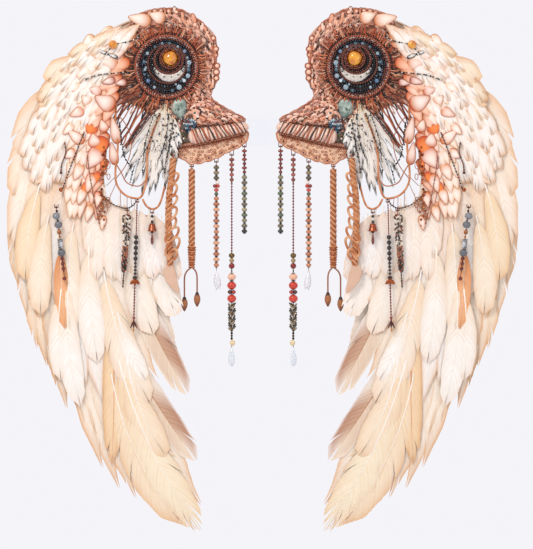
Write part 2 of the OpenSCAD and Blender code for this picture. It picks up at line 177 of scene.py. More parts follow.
class Shape:
    """Collects one piece's mesh in a wing's own millimetres: u outwards, depth forwards, z up."""

    def __init__(self):
        self.co, self.quads, self.tris = [], [], []
        self.col, self.uv, self.quad_mat, self.tri_mat = [], [], [], []
        self.n = 0          # points so far

    def add(self, co, quads=None, tris=None, col=(1, 1, 1), uv=None, mat=0):
        co = np.asarray(co, float).reshape(-1, 3)
        self.co.append(co)
        self.col.append(np.broadcast_to(np.asarray(col, float), (len(co), 3)))
        self.uv.append(np.zeros((len(co), 2)) if uv is None else np.asarray(uv, float).reshape(-1, 2))
        for faces, store, mats, k in ((quads, self.quads, self.quad_mat, 4),
                                      (tris, self.tris, self.tri_mat, 3)):
            if faces is not None and len(faces):
                f = np.asarray(faces, int).reshape(-1, k)
                store.append(f + self.n)
                mats.append(np.full(len(f), mat))
        self.n += len(co)

    def copies(self, form, centres, sizes, turns=None, col=(1, 1, 1), mat=0):
        """Copies of a form's (points, quads) at centres. sizes is one number, or three for each copy."""
        points, quads = form
        centres = np.asarray(centres, float).reshape(-1, 3)
        n, v = len(centres), len(points)
        co = points[None] * np.broadcast_to(np.asarray(sizes, float), (n, 3))[:, None]
        if turns is not None:
            co = np.einsum("nij,nvj->nvi", np.asarray(turns), co)
        co = co + centres[:, None]
        faces = quads[None] + (np.arange(n) * v)[:, None, None]
        col = np.asarray(col, float)
        col = np.repeat(col.reshape(-1, 3), v, 0) if col.ndim == 2 else col
        uv = np.tile(points[:, :2] * 0.5 + 0.5, (n, 1))
        self.add(co.reshape(-1, 3), faces.reshape(-1, 4), col=col, uv=uv, mat=mat)

    def build(self, name, side, sign, materials, body="wing"):
        """The piece as an object on one wing, mirrored for the left one."""
        co = np.concatenate(self.co)
        world = to_world(co, sign)
        quads = np.concatenate(self.quads) if self.quads else np.zeros((0, 4), int)
        tris = np.concatenate(self.tris) if self.tris else np.zeros((0, 3), int)
        if sign > 0:
            quads, tris = quads[:, ::-1], tris[:, ::-1]
        mesh = bpy.data.meshes.new(name + "_" + side)
        mesh.vertices.add(len(world))
        mesh.vertices.foreach_set("co", world.ravel())
        loops = np.concatenate([quads.ravel(), tris.ravel()])
        mesh.loops.add(len(loops))
        mesh.loops.foreach_set("vertex_index", loops)
        starts = np.concatenate([np.arange(len(quads)) * 4, len(quads) * 4 + np.arange(len(tris)) * 3])
        mesh.polygons.add(len(starts))
        mesh.polygons.foreach_set("loop_start", starts)
        mats = np.concatenate(self.quad_mat + self.tri_mat)
        mesh.polygons.foreach_set("material_index", mats)
        mesh.update(calc_edges=True)
        mesh.polygons.foreach_set("use_smooth", np.full(len(starts), True))
        layer = mesh.uv_layers.new(name="UVMap")
        layer.data.foreach_set("uv", np.concatenate(self.uv)[loops].ravel())
        tint = mesh.color_attributes.new("tint", "FLOAT_COLOR", "POINT")
        col = np.concatenate(self.col)
        tint.data.foreach_set("color", np.hstack([np.clip(col, 0, 1), np.ones((len(col), 1))]).ravel())
        for m in materials:
            mesh.materials.append(m)
        o = bpy.data.objects.new(name + "_" + side, mesh)
        bpy.context.scene.collection.objects.link(o)
        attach(o, f"{body}_{side}")
        return o


def ball_form(rings=8, sides=12, square=1.0):
    """Points and quads of a ball of radius 1 whose poles lie on z; square above 1 flattens its sides."""
    a = np.linspace(0, pi, rings + 1)
    b = circle(sides)
    r = np.sin(a) ** (1 / square)
    z = np.outer(np.cos(a), np.ones(sides))
    points = np.stack([np.outer(r, np.cos(b)), np.outer(r, np.sin(b)), z], -1)
    return points.reshape(-1, 3), grid_quads(rings + 1, sides, True)


def grid_quads(rows, cols, wrap=False):
    """Quads of a grid of rows by cols points, closed round its columns if wrap."""
    i, k = np.meshgrid(np.arange(rows - 1), np.arange(cols if wrap else cols - 1), indexing="ij")
    k2 = (k + 1) % cols
    return np.stack([i * cols + k, i * cols + k2, (i + 1) * cols + k2, (i + 1) * cols + k], -1).reshape(-1, 4)


def tube(shape, path, radius, sides=6, col=(1, 1, 1), mat=0, closed=False, flat=1.0):
    """A tube along (u, depth, z) points. radius and col may differ from point to point. flat squashes it."""
    p = np.asarray(path, float)
    n = len(p)
    way = unit(np.roll(p, -1, 0) - np.roll(p, 1, 0)) if closed else unit(np.gradient(p, axis=0))
    up = np.broadcast_to(np.array([0.0, 1.0, 0.0]), p.shape)
    bad = np.abs(way[:, 1]) > 0.95
    up = np.where(bad[:, None], np.array([1.0, 0.0, 0.0]), up)
    a = unit(np.cross(way, up))
    b = np.cross(way, a)
    t = circle(sides)
    r = np.broadcast_to(np.asarray(radius, float), (n,))[:, None, None]
    ring = np.cos(t)[None, :, None] * a[:, None] + flat * np.sin(t)[None, :, None] * b[:, None]
    co = p[:, None] + r * ring
    quads = grid_quads(n, sides, True)
    if closed:
        k = np.arange(sides)
        last = (n - 1) * sides
        quads = np.vstack([quads, np.stack([last + k, last + (k + 1) % sides, (k + 1) % sides, k], 1)])
    run = run_along(p)
    uv = np.stack(np.broadcast_arrays(run[:, None] / 10, (t / (2 * pi))[None]), -1)
    col = np.asarray(col, float)
    col = np.repeat(col, sides, 0) if col.ndim == 2 else col
    shape.add(co.reshape(-1, 3), quads, col=col, uv=uv, mat=mat)
    if not closed:
        k, start, last = np.arange(sides), -n * sides, -sides      # counted back from the two new points
        tips = np.vstack([np.stack([np.zeros(sides, int), start + (k + 1) % sides, start + k], 1),
                          np.stack([np.ones(sides, int), last + k, last + (k + 1) % sides], 1)])
        shape.add(p[[0, -1]], None, tips, col=col[[0, -1]] if col.ndim == 2 else col, mat=mat)


def turned(shape, at, profile, sides, col, mat):
    """A turned form hung below a point: profile is (distance down, radius) pairs, col may be one for each."""
    prof = np.asarray(profile, float)
    t = circle(sides)
    drop = np.repeat(prof[:, 0:1], sides, 1)
    co = np.stack([at[0] + np.outer(prof[:, 1], np.cos(t)), at[1] + np.outer(prof[:, 1], np.sin(t)),
                   at[2] - drop], -1)
    col = np.asarray(col, float)
    col = np.repeat(col, sides, 0) if col.ndim == 2 else col
    uv = np.stack(np.broadcast_arrays(prof[:, 0:1] / 10, (t / (2 * pi))[None]), -1)
    shape.add(co.reshape(-1, 3), grid_quads(len(prof), sides, True)[:, ::-1], col=col, uv=uv, mat=mat)


def frame_turn(way):
    """A matrix for each direction that turns z onto it."""
    way = unit(np.asarray(way, float).reshape(-1, 3))
    helper = np.where(np.abs(way[:, 1:2]) > 0.9, (1.0, 0, 0), (0, 1.0, 0))
    a = unit(np.cross(helper, way))
    return np.stack([a, np.cross(way, a), way], -1)


def slab(shape, outline, d0, d1, edge, col):
    """A panel between two depths with a rounded rim, filled by bmesh from its outline of (u, z) points."""
    o = np.asarray(outline, float)
    if twice_area(o) < 0:
        o = o[::-1]
    inward = inward_steps(o)
    rows = [(edge, d0), (0, d0 + edge), (0, d1 - edge), (0.3 * edge, d1 - 0.3 * edge), (edge, d1)]
    rings = [at_depth(o + inward * k, d) for k, d in rows]
    n = len(o)
    shape.add(np.concatenate(rings), grid_quads(len(rings), n, True), col=col,
              uv=np.concatenate([r[:, [0, 2]] / 100 for r in rings]))
    for ring, flip in ((rings[0], True), (rings[-1], False)):
        bm = bmesh.new()
        verts = [bm.verts.new(v) for v in ring]
        face = bm.faces.new(verts)
        face.normal_update()
        bmesh.ops.triangulate(bm, faces=[face], ngon_method="EAR_CLIP")
        bm.verts.index_update()
        tris = np.array([[v.index for v in f.verts] for f in bm.faces])
        bm.free()
        shape.add(ring, None, tris[:, ::-1] if flip else tris, col=col, uv=ring[:, [0, 2]] / 100)


# ---------------------------------------------------------------- materials


class Nodes:
    """A short way to wire one material. Most methods add nodes and return the socket of their result."""

    def __init__(self, name):
        self.mat = bpy.data.materials.new(name)
        self.mat.use_nodes = True
        self.tree = self.mat.node_tree
        self.shader = self.tree.nodes["Principled BSDF"]
        self.out = self.tree.nodes["Material Output"]

    def node(self, kind, **values):
        n = self.tree.nodes.new("ShaderNode" + kind)
        for key, value in values.items():
            if key in n.inputs:
                n.inputs[key].default_value = value
            else:
                setattr(n, key, value)
        return n

    def link(self, a, b):
        self.tree.links.new(a, b)

    def set(self, **values):
        for key, value in values.items():
            self.shader.inputs[key.replace("_", " ")].default_value = value

    def tint(self):
        return self.node("Attribute", attribute_name="tint").outputs["Color"]

    def noise(self, scale, detail=3.0, rough=0.5):
        n = self.node("TexNoise", Scale=scale, Detail=detail, Roughness=rough)
        self.link(self.node("TexCoord").outputs["Object"], n.inputs["Vector"])
        return n.outputs["Fac"]

    def ramp(self, value, low, high, a=0.0, b=1.0):
        """value from a to b stretched to run from low to high."""
        n = self.node("MapRange")
        for key, v in (("From Min", a), ("From Max", b), ("To Min", low), ("To Max", high)):
            n.inputs[key].default_value = v
        self.link(value, n.inputs["Value"])
        return n.outputs["Result"]

    def math(self, op, a, b=None):
        n = self.node("Math", operation=op)
        for i, v in enumerate((a, b)):
            if v is None:
                continue
            if isinstance(v, (int, float)):
                n.inputs[i].default_value = v
            else:
                self.link(v, n.inputs[i])
        return n.outputs[0]

    def blend(self, fac, a, b, mode="MIX"):
        n = self.node("Mix", data_type="RGBA", blend_type=mode)
        for socket, v in ((n.inputs[0], fac), (n.inputs[6], a), (n.inputs[7], b)):
            if isinstance(v, (int, float)):
                socket.default_value = v
            elif isinstance(v, (tuple, list, np.ndarray)):
                socket.default_value = (*[float(x) for x in v], 1.0)
            else:
                self.link(v, socket)
        return n.outputs[2]

    def darken_tint(self, share, code):
        """The tint as base colour, darkened by a second colour where share is high."""
        self.colour(self.blend(share, self.tint(), self.blend(1.0, self.tint(), rgb(code), "MULTIPLY")))

    def bump(self, height, strength, distance):
        n = self.node("Bump", Strength=strength, Distance=distance)
        self.link(height, n.inputs["Height"])
        self.link(n.outputs["Normal"], self.shader.inputs["Normal"])

    def colour(self, socket):
        self.link(socket, self.shader.inputs["Base Color"])

    def rough(self, socket):
        self.link(socket, self.shader.inputs["Roughness"])


def uv_parts(m):
    """The two parts of a piece's UV: x runs along it and y across or round it."""
    n = m.node("SeparateXYZ")
    m.link(m.node("TexCoord").outputs["UV"], n.inputs[0])
    return n.outputs["X"], n.outputs["Y"]


def feather_material():
    """Fine lines for the barbs, bunched in places, with soft mottling."""
    m = Nodes("feather")
    x = uv_parts(m)[0]
    barbs = m.math("SINE", m.math("MULTIPLY", x, 420.0))
    bunch = m.node("TexNoise", noise_dimensions="1D", Scale=22.0, Detail=3.0)
    m.link(x, bunch.inputs["W"])
    mottle = m.noise(70.0, 4.0)
    dark = m.math("ADD", m.ramp(barbs, 0.0, 0.10, -1.0, 1.0), m.ramp(mottle, 0.0, 0.10, 0.35, 0.75))
    dark = m.math("ADD", dark, m.ramp(bunch.outputs[0], 0.0, 0.20, 0.42, 0.72))
    m.darken_tint(dark, "E2B88E")
    m.rough(m.ramp(mottle, 0.5, 0.72))
    m.bump(barbs, 0.4, 0.0003)
    m.set(Sheen_Weight=0.25, Sheen_Roughness=0.5, Specular_IOR_Level=0.3)
    return m.mat


def shaft_material():
    m = Nodes("feather_shaft")
    streak = m.noise(300.0, 2.0)
    m.darken_tint(m.ramp(streak, 0.0, 0.3), "E8C49A")
    m.rough(m.ramp(streak, 0.3, 0.45))
    m.bump(streak, 0.1, 0.0002)
    return m.mat


def petal_material():
    """Pearly shell: fine growth lines across the piece and a soft lustre."""
    m = Nodes("shell_petal")
    x = uv_parts(m)[0]
    cloud = m.noise(60.0, 4.0)
    lines = m.math("SINE", m.math("ADD", m.math("MULTIPLY", x, 75.0), m.math("MULTIPLY", cloud, 9.0)))
    m.darken_tint(m.ramp(lines, 0.0, 0.16, -1.0, 1.0), "F6D4BC")
    m.rough(m.ramp(cloud, 0.22, 0.42))
    m.bump(lines, 0.12, 0.0003)
    m.set(Coat_Weight=0.25, Coat_Roughness=0.2, Sheen_Weight=0.1)
    return m.mat


TWICE_ROUND = 12.566    # a cord has two grooves side by side, and y runs once round it


def thread_material(name, twist=26.0, lift=0.5):
    """Spun thread: slanting grooves round the cord, darkened in the colour as painted shade, fuzz and uneven
    dye.
    """
    m = Nodes(name)
    x, y = uv_parts(m)
    slant = m.math("ADD", m.math("MULTIPLY", x, twist), m.math("MULTIPLY", y, TWICE_ROUND))
    ply = m.math("SINE", slant)
    dye = m.noise(160.0, 4.0)
    # shade: the grooves between the plies are darkened as painted shade, and the dye noise adds real uneven
    # dye
    shade = m.math("ADD", m.ramp(ply, 0.35, 0.0, -1.0, 1.0), m.ramp(dye, 0.0, 0.3, 0.3, 0.8))
    m.darken_tint(shade, "C08A70")
    m.rough(m.ramp(dye, 0.55, 0.8))
    m.bump(ply, lift, 0.0004)
    m.set(Sheen_Weight=0.2, Sheen_Roughness=0.4)
    return m.mat


def bead_material(name, low, high, metal=0.0, coat=0.3, spots=0.25, clear=0.0):
    """Beads: tinted body, worn patches and a polish that varies."""
    m = Nodes(name)
    cloud = m.noise(420.0, 3.0)
    m.darken_tint(m.ramp(cloud, 0.0, spots, 0.35, 0.7), "7A6A60")
    m.rough(m.ramp(cloud, low, high, 0.3, 0.7))
    m.bump(cloud, 0.08, 0.0003)
    m.set(Metallic=metal, Coat_Weight=coat, Coat_Roughness=0.1, Transmission_Weight=clear)
    return m.mat


def felt_material(name, grain=900.0):
    m = Nodes(name)
    fine = m.noise(grain, 5.0, 0.7)
    broad = m.noise(35.0, 3.0)
    m.darken_tint(m.math("ADD", m.ramp(fine, 0.0, 0.35, 0.3, 0.7), m.ramp(broad, 0.0, 0.2)), "C8A890")
    m.rough(m.ramp(fine, 0.8, 0.95))
    m.bump(fine, 0.4, 0.0006)
    m.set(Sheen_Weight=0.3, Sheen_Roughness=0.6)
    return m.mat


def amber_material():
    m = Nodes("amber")
    cloud = m.noise(120.0, 5.0, 0.6)
    m.colour(m.blend(m.ramp(cloud, 0.0, 1.0, 0.35, 0.65), rgb("FFB030"), rgb("C25A0C")))
    m.rough(m.ramp(cloud, 0.06, 0.16))
    m.bump(cloud, 0.05, 0.0004)
    m.set(Coat_Weight=0.6, Coat_Roughness=0.05, Subsurface_Weight=0.2, Transmission_Weight=0.1)
    return m.mat


def stone_material():
    m = Nodes("green_stone")
    veins = m.noise(110.0, 6.0, 0.65)
    m.colour(m.blend(m.ramp(veins, 0.0, 1.0, 0.4, 0.62), rgb("B2BDB0"), rgb("66796F")))
    m.rough(m.ramp(veins, 0.25, 0.5))
    m.bump(veins, 0.15, 0.0006)
    return m.mat


def leather_material():
    m = Nodes("leather")
    v = m.node("TexVoronoi", Scale=520.0)
    m.link(m.node("TexCoord").outputs["Object"], v.inputs["Vector"])
    cells = v.outputs["Distance"]
    m.darken_tint(m.ramp(m.noise(90.0), 0.0, 0.5), "D9A890")
    m.rough(m.ramp(cells, 0.5, 0.7))
    m.bump(cells, 0.3, 0.0003)
    return m.mat


def metal_material(name, base, low=0.22, high=0.45):
    m = Nodes(name)
    brush = m.noise(240.0, 4.0)
    m.colour(m.blend(m.ramp(brush, 0.0, 0.4), rgb(base), rgb(base) * 0.55))
    m.rough(m.ramp(brush, low, high))
    m.bump(brush, 0.05, 0.0002)
    m.set(Metallic=1.0)
    return m.mat


def clear_material():
    """Clear polycarbonate with faint handling scratches."""
    m = Nodes("clear_plate")
    haze = m.noise(60.0, 6.0, 0.7)
    m.rough(m.ramp(haze, 0.02, 0.08))
    m.set(Base_Color=(0.97, 0.985, 1.0, 1.0), Transmission_Weight=1.0, IOR=1.12, Specular_IOR_Level=0.25)
    return m.mat


MAT = {
    "feather": feather_material(),
    "shaft": shaft_material(),
    "petal": petal_material(),
    "thread": thread_material("thread"),
    "rope": thread_material("rope_ply", 90.0, 0.35),
    "bead": bead_material("gloss_bead", 0.12, 0.3),
    "pearl": bead_material("pearl_bead", 0.2, 0.38, coat=0.6, spots=0.12),
    "glass": bead_material("crystal", 0.08, 0.2, coat=0.5, spots=0.05, clear=0.25),
    "metal": bead_material("copper_bead", 0.25, 0.5, metal=1.0, coat=0.0, spots=0.5),
    "matte": bead_material("matte_bead", 0.45, 0.7, coat=0.0, spots=0.35),
    "felt": felt_material("felt"),
    "knit": felt_material("crochet_ground", 500.0),
    "amber": amber_material(),
    "stone": stone_material(),
    "leather": leather_material(),
}


# ---------------------------------------------------------------- stage, light and camera


WORLD_LIGHT, WORLD_SEEN = 0.77, 0.98     # the backdrop's strength as a light, and as the camera sees it
FLOOR_GAP = 0.03
VIEW_HEIGHT = 0.7137
VIEW_CENTRE = (0.0052, -3.0, -0.18525)


STUDIO_LIGHTS = (   # name, place, aim, size, power, colour
    ("key", (-0.9, -1.6, 1.3), (0, 0, -0.15), 0.6, 23.0, (1.0, 0.985, 0.96)),
    ("fill", (1.4, -1.4, 0.2), (0, 0, -0.2), 1.2, 4.0, (1, 1, 1)),
    ("back", (0.6, 1.6, 0.9), (0, 0, -0.15), 1.2, 5.0, (1, 1, 1)))


def area_light(name, place, aim, size, power, colour):
    """A square lamp at a place, aimed at a point."""
    data = bpy.data.lights.new(name, "AREA")
    data.energy, data.size, data.color = power, size, colour
    o = bpy.data.objects.new(name, data)
    o.location = place
    way = np.array(aim, float) - np.array(place, float)
    o.rotation_euler = Vector(way).to_track_quat("-Z", "Y").to_euler()
    bpy.context.scene.collection.objects.link(o)


def stage():
    """A pale world, three lights and a paper floor."""
    scene = bpy.context.scene
    scene.view_settings.view_transform = "Standard"
    world = bpy.data.worlds.new("studio")
    scene.world = world
    world.use_nodes = True
    tree = world.node_tree
    back = tree.nodes["Background"]
    back.inputs["Color"].default_value = (*rgb("F7F6FB"), 1)
    seen, lit = tree.nodes.new("ShaderNodeLightPath"), tree.nodes.new("ShaderNodeMapRange")
    lit.inputs["To Min"].default_value, lit.inputs["To Max"].default_value = WORLD_LIGHT, WORLD_SEEN
    direct = tree.nodes.new("ShaderNodeMath")
    direct.operation = "ADD"
    tree.links.new(seen.outputs["Is Camera Ray"], direct.inputs[0])
    tree.links.new(seen.outputs["Is Transmission Ray"], direct.inputs[1])
    tree.links.new(direct.outputs[0], lit.inputs["Value"])
    tree.links.new(lit.outputs["Result"], back.inputs["Strength"])
    for light in STUDIO_LIGHTS:
        area_light(*light)
    floor_mesh = bpy.data.meshes.new("floor")
    z, reach = CAD_BOX[0].z - FLOOR_GAP, 3
    corners = [(-reach, -reach, z), (reach, -reach, z), (reach, reach, z), (-reach, reach, z)]
    floor_mesh.from_pydata(corners, [], [(0, 1, 2, 3)])
    floor = bpy.data.objects.new("floor", floor_mesh)
    m = Nodes("floor_paper")
    m.colour(m.blend(m.ramp(m.noise(4.0), 0.0, 0.3), rgb("F1F0F6"), rgb("E9E8F0")))
    m.set(Roughness=0.9)
    floor_mesh.materials.append(m.mat)
    scene.collection.objects.link(floor)


def camera():
    """A square-on view without perspective, with the wings' middle just left of the frame's."""
    data = bpy.data.cameras.new("camera")
    data.type = "ORTHO"
    data.ortho_scale = VIEW_HEIGHT
    o = bpy.data.objects.new("camera", data)
    o.location = VIEW_CENTRE
    o.rotation_euler = (pi / 2, 0, 0)
    data.clip_end = 20
    bpy.context.scene.collection.objects.link(o)
    bpy.context.scene.camera = o


stage()
camera()

# ---------------------------------------------------------------- cords and strands

JOINTS = {j["name"]: j for j in frame["joints"]}
# The hanging pieces below the lace, and those that lie over the feathers
OUTER_STRANDS = ("bronze_strand", "coral_strand", "rose_strand", "twisted_rope", "looped_rope")
INNER_STRANDS = ("bell_drop", "garnet_strand", "striped_strand", "grey_strand")
SEED = ball_form(5, 8)
ROUND = ball_form(9, 14)
BARREL = ball_form(8, 12, 2.0)


def pivot(name):
    """Where a hanging piece swings, in the wing's own millimetres."""
    x, y, z = JOINTS[f"{name}_swing_right"]["pos_m"]
    return np.array([abs(x), BACK_Y - y, z]) / MM


def thread_curve(name, side, sign, points, diameter, colour, body):
    """A thread or thin cord as a curve of one open spline."""
    data = bpy.data.curves.new(f"{name}_{side}", "CURVE")
    data.dimensions = "3D"
    data.bevel_depth = diameter / 2
    data.bevel_resolution = 2
    data.use_fill_caps = True
    spline = data.splines.new("POLY")
    world = to_world(points, sign)
    spline.points.add(len(world) - 1)
    for point, place in zip(spline.points, world):
        point.co = (*place, 1)
    data.materials.append(colour)
    o = bpy.data.objects.new(f"{name}_{side}", data)
    bpy.context.scene.collection.objects.link(o)
    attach(o, f"{body}_{side}")
    return o


def plain_thread(name, code):
    """A waxed thread of one dye, for curves, which hold no tint."""
    m = Nodes(name)
    dye = m.noise(500.0, 3.0)
    m.colour(m.blend(m.ramp(dye, 0.0, 0.8), rgb(code), rgb(code) * 0.5))
    m.rough(m.ramp(dye, 0.4, 0.7))
    m.bump(dye, 0.3, 0.0003)
    return m.mat


THREADS = {"dark": plain_thread("dark_thread", "4A2018"), "copper": plain_thread("copper_thread", "A8623E"),
           "black": plain_thread("black_thread", "1C1718")}


def facets(sides):
    """A cut crystal's points and quads: a long spindle with few sides."""
    z = np.array([-1, -0.92, -0.6, -0.1, 0.4, 0.8, 1.0])
    r = np.array([0.02, 0.55, 0.95, 1.0, 0.66, 0.3, 0.02])
    t = circle(sides)
    points = np.stack([np.outer(r, np.cos(t)), np.outer(r, np.sin(t)), np.repeat(z[:, None], sides, 1)], -1)
    return points.reshape(-1, 3), grid_quads(len(z), sides, True)[:, ::-1]


CRYSTAL = facets(9)
BEAD_MATS = ["bead", "pearl", "glass", "metal", "matte", "thread", "leather"]


def pin_eye(shape, top, radius, wire, code="A8623E", mat=0, n=16):
    """The small wire eye round a pin."""
    ring = oval(0, 0, radius, radius, n)
    tube(shape, np.insert(ring, 0, 0, axis=1) + top, wire, 6, rgb(code), mat, closed=True)


class Strand:
    """Beads threaded downwards from a point, one after another."""

    def __init__(self, top, lean=0.0):
        self.shape = Shape()
        self.top = np.asarray(top, float)
        self.way = np.array([sin(lean), 0.0, -cos(lean)])
        self.lean = lean
        self.at = 0.0

    def place(self, drop=0.0, shift=0.0):
        return self.top + self.way * (self.at + drop) + np.array([shift, 0, 0])

    def ring(self, code="A8623E"):
        pin_eye(self.shape, self.top, 1.8, 0.55, code, BEAD_MATS.index("metal"), 14)
        self.at = 2.2

    def gap(self, length):
        self.at += length

    def bead(self, length, radius, code, kind="bead", form=ROUND, shift=0.0, tilt=0.0):
        centre = self.place(length / 2, shift)
        way = self.way if not tilt else np.array([sin(self.lean + tilt), 0, -cos(self.lean + tilt)])
        turn = frame_turn([-way])
        self.shape.copies(form, [centre], (radius, radius, length / 2), turn, rgb(code),
                          BEAD_MATS.index(kind))
        self.at += length

    def capped(self, length, radius, code, kind="bead", cap="3A1A14"):
        """A bead between two thin dark washers, whose dark colour also stands in as painted shade for the
        dark lines between the beads.
        """
        self.bead(0.7, radius * 0.62, cap, "metal")
        self.bead(length, radius, code, kind)
        self.bead(0.7, radius * 0.62, cap, "metal")

    def pair(self, length, radius, codes, kind="bead", spread=2.2):
        """Two small beads side by side."""
        for s, code in zip((-1, 1), codes):
            self.shape.copies(ROUND, [self.place(length / 2, s * spread)], (radius, radius, length / 2),
                              frame_turn([-self.way]), rgb(code), BEAD_MATS.index(kind))
        self.at += length

    def finish(self, name, side, sign, thread="dark"):
        """The beads and their thread on one wing. Both replace the CAD strand."""
        beads = self.shape.build(name + "_beads", side, sign, [MAT[k] for k in BEAD_MATS], name)
        start = 0.6
        points = [self.top + self.way * mix(start, self.at, i / 15) for i in range(16)]
        cord = thread_curve(name + "_thread", side, sign, points, THREAD_THICK, THREADS[thread], name)
        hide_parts(f"{name}_{side}")
        tuple(to_world(points[:1], sign)[0])


def bronze(side, sign):
    """Red beads above bronze pearls."""
    s = Strand(pivot("bronze_strand"))
    s.ring()
    s.gap(1.2)
    for i in range(6):
        s.bead(4.4, 2.5 if i % 2 else 3.5, "7A2A22" if i % 2 else "8E3A2E", form=ROUND)
        s.bead(1.1, 1.3, "3A1A14", "metal")
    for i in range(11):
        code = ["8C8262", "6F6650", "A89A74", "5F6A50"][i % 4] if i < 10 else "241E1C"
        s.capped(5.6, 4.1 if i % 2 else 3.7, code, "pearl")
    s.finish("bronze_strand", side, sign)


def coral(side, sign):
    """Small red beads, large coral ones, a piece of chain and a clear drop."""
    s = Strand(pivot("coral_strand"))
    s.ring()
    s.gap(1.2)
    for i in range(5):
        s.bead(5.2, 3.6 - 0.2 * i, ["8A3E30", "A8584A"][i % 2], "bead")
        s.bead(1.3, 1.3, "4A1A16", "metal")
    for _ in range(24):
        s.bead(2.9, 1.35, "7A2226", "bead", ROUND)
        s.gap(0.9)
    s.bead(7, 3.9, "8A7048", "metal")
    s.bead(6, 3.3, "A38A5C", "pearl")
    s.bead(8, 3.9, "8A2018", "bead")
    s.bead(5, 0.9, "2A1A18", "matte")
    s.capped(9, 5.6, "F2B898", "pearl")
    s.capped(10.6, 6.0, "D03A24", "bead")
    s.pair(5, 2.9, ("B8342A", "5A2A26"), "bead", 2.6)
    s.capped(10.6, 6.0, "D4402A", "bead")
    for i in range(10):
        for k, shift in enumerate((-2.3, 2.3)):
            t = circle(14)
            ring = np.stack([shift + 0.7 * sin(i * 2.1) + (2.9 - 0.7 * (i + k) % 2) * np.cos(t),
                             1.2 * np.sin(t + i), (1.9 + 0.8 * ((i + k) % 2)) * np.sin(t + 0.5 * shift)], 1)
            dye = rgb(["7C7666", "B8A488", "5C574C"][(i + k) % 3])
            tube(s.shape, ring + s.place(1.7 + 1.7 * k), 0.75, 6, dye, BEAD_MATS.index("metal"), closed=True)
        s.shape.copies(SEED, [s.place(1.7)], 1.1, None, rgb("B87A50" if i % 2 else "4A3A30"),
                       BEAD_MATS.index("metal"))
        s.gap(3.4)
    for i in range(4):
        s.bead(3.4, 1.6, ["6A4A34", "2E2420"][i % 2], "metal")
    s.bead(8, 3.6, "E8CFA0", "pearl", shift=-1.0)
    s.gap(1)
    s.bead(26, 4.4, "EDF1F6", "glass", CRYSTAL)
    s.finish("coral_strand", side, sign)


def rose(side, sign):
    """Rose pearls above a clear quartz leaf."""
    s = Strand(pivot("rose_strand"))
    s.ring()
    s.gap(1.5)
    for code in ("6C5A40", "8E7A58", "5A4A36"):
        s.capped(5.4, 3.9, code, "pearl")
    s.bead(4.6, 3.0, "F6E8DC", "pearl", shift=-1.5)
    s.pair(5.0, 2.4, ("C23A30", "8A2A24"))
    s.bead(5.2, 3.2, "C8564A")
    s.bead(5, 2.8, "5E6A50", "bead")
    for i in range(13):
        s.capped(5.8, 4.3 if i % 3 else 3.5, ["C98058", "B46E4A", "E0A680"][i % 3], "pearl", "6A3A26")
    s.gap(2.5)
    s.bead(26, 4.8, "F4F4F6", "glass", CRYSTAL, shift=-1.0, tilt=-0.12)
    s.finish("rose_strand", side, sign, "copper")


def striped(side, sign):
    """A rope of small striped beads that tapers to a thin tail."""
    s = Strand(pivot("striped_strand"), radians(3.4))
    s.ring()
    s.gap(2)
    codes = ["16130F", "E9DCC8", "7A3A24", "241C18", "F2E8DA", "4A3A2C"]
    rnd = np.random.default_rng(61)
    for i in range(30):
        wide = 5.2 - 0.09 * i
        for k in range(3):
            tilt = rnd.uniform(-1.1, 1.1)
            spot = s.place(rnd.uniform(0, 2.4), wide * (k - 1) * rnd.uniform(0.6, 1.0))
            spot = spot + (0, rnd.uniform(-1.4, 1.4), 0)
            code = pick(rnd, codes if i < 17 else ["7A3A24", "16130F", "A8603C"])
            s.shape.copies(ROUND, [spot], (1.25, 1.25, rnd.uniform(1.8, 3.0)),
                           frame_turn([[sin(tilt), 0, cos(tilt)]]), rgb(code), 0)
        s.gap(2.5)
    for i in range(6):
        s.bead(3.2, 1.1, ["6A4A34", "2A1E1A"][i % 2], "bead", BARREL)
        s.gap(0.4)
    s.finish("striped_strand", side, sign, "black")


def garnet(side, sign):
    """Fine garnet beads with a flower of three leaves and a small tassel."""
    s = Strand(pivot("garnet_strand"), radians(1.6))
    s.ring()
    s.gap(1)
    for _ in range(12):
        s.bead(2.4, 0.95, "7A2430", "bead", BARREL)
        s.gap(0.9)
    for _ in range(5):
        s.bead(5.8, 3.0, "1E1416", "bead")
        s.bead(1.2, 1.1, "5A1E1A", "matte")
    for _ in range(4):
        s.bead(3.7, 2.0, "2E1618", "bead", BARREL)
        s.gap(0.8)
    s.bead(5, 3.2, "3A1A18", "bead")
    for shift, tilt in ((-3.0, 0.7), (3.0, -0.7), (0, 0)):
        s.shape.copies(ROUND, [s.place(3, shift)], (2.2, 1.2, 4.4),
                       frame_turn([[sin(tilt), 0, cos(tilt)]]), rgb("B0603C"), BEAD_MATS.index("metal"))
    s.gap(6)
    for _ in range(11):
        s.bead(2.9, 1.2, "7A2420", "bead", BARREL)
        s.gap(0.9)
    s.bead(4, 2.0, "8A2A22")
    for tilt in (-0.42, 0.42, 0.0):
        s.shape.copies(ROUND, [s.place(6, 9 * sin(tilt) / 2)], (1.1, 1.1, 6.5),
                       frame_turn([[sin(-tilt), 0, cos(tilt)]]), rgb("5A2018"), BEAD_MATS.index("thread"))
    s.gap(9)
    s.bead(7, 1.3, "C88A5A", "matte", CRYSTAL)
    s.finish("garnet_strand", side, sign)


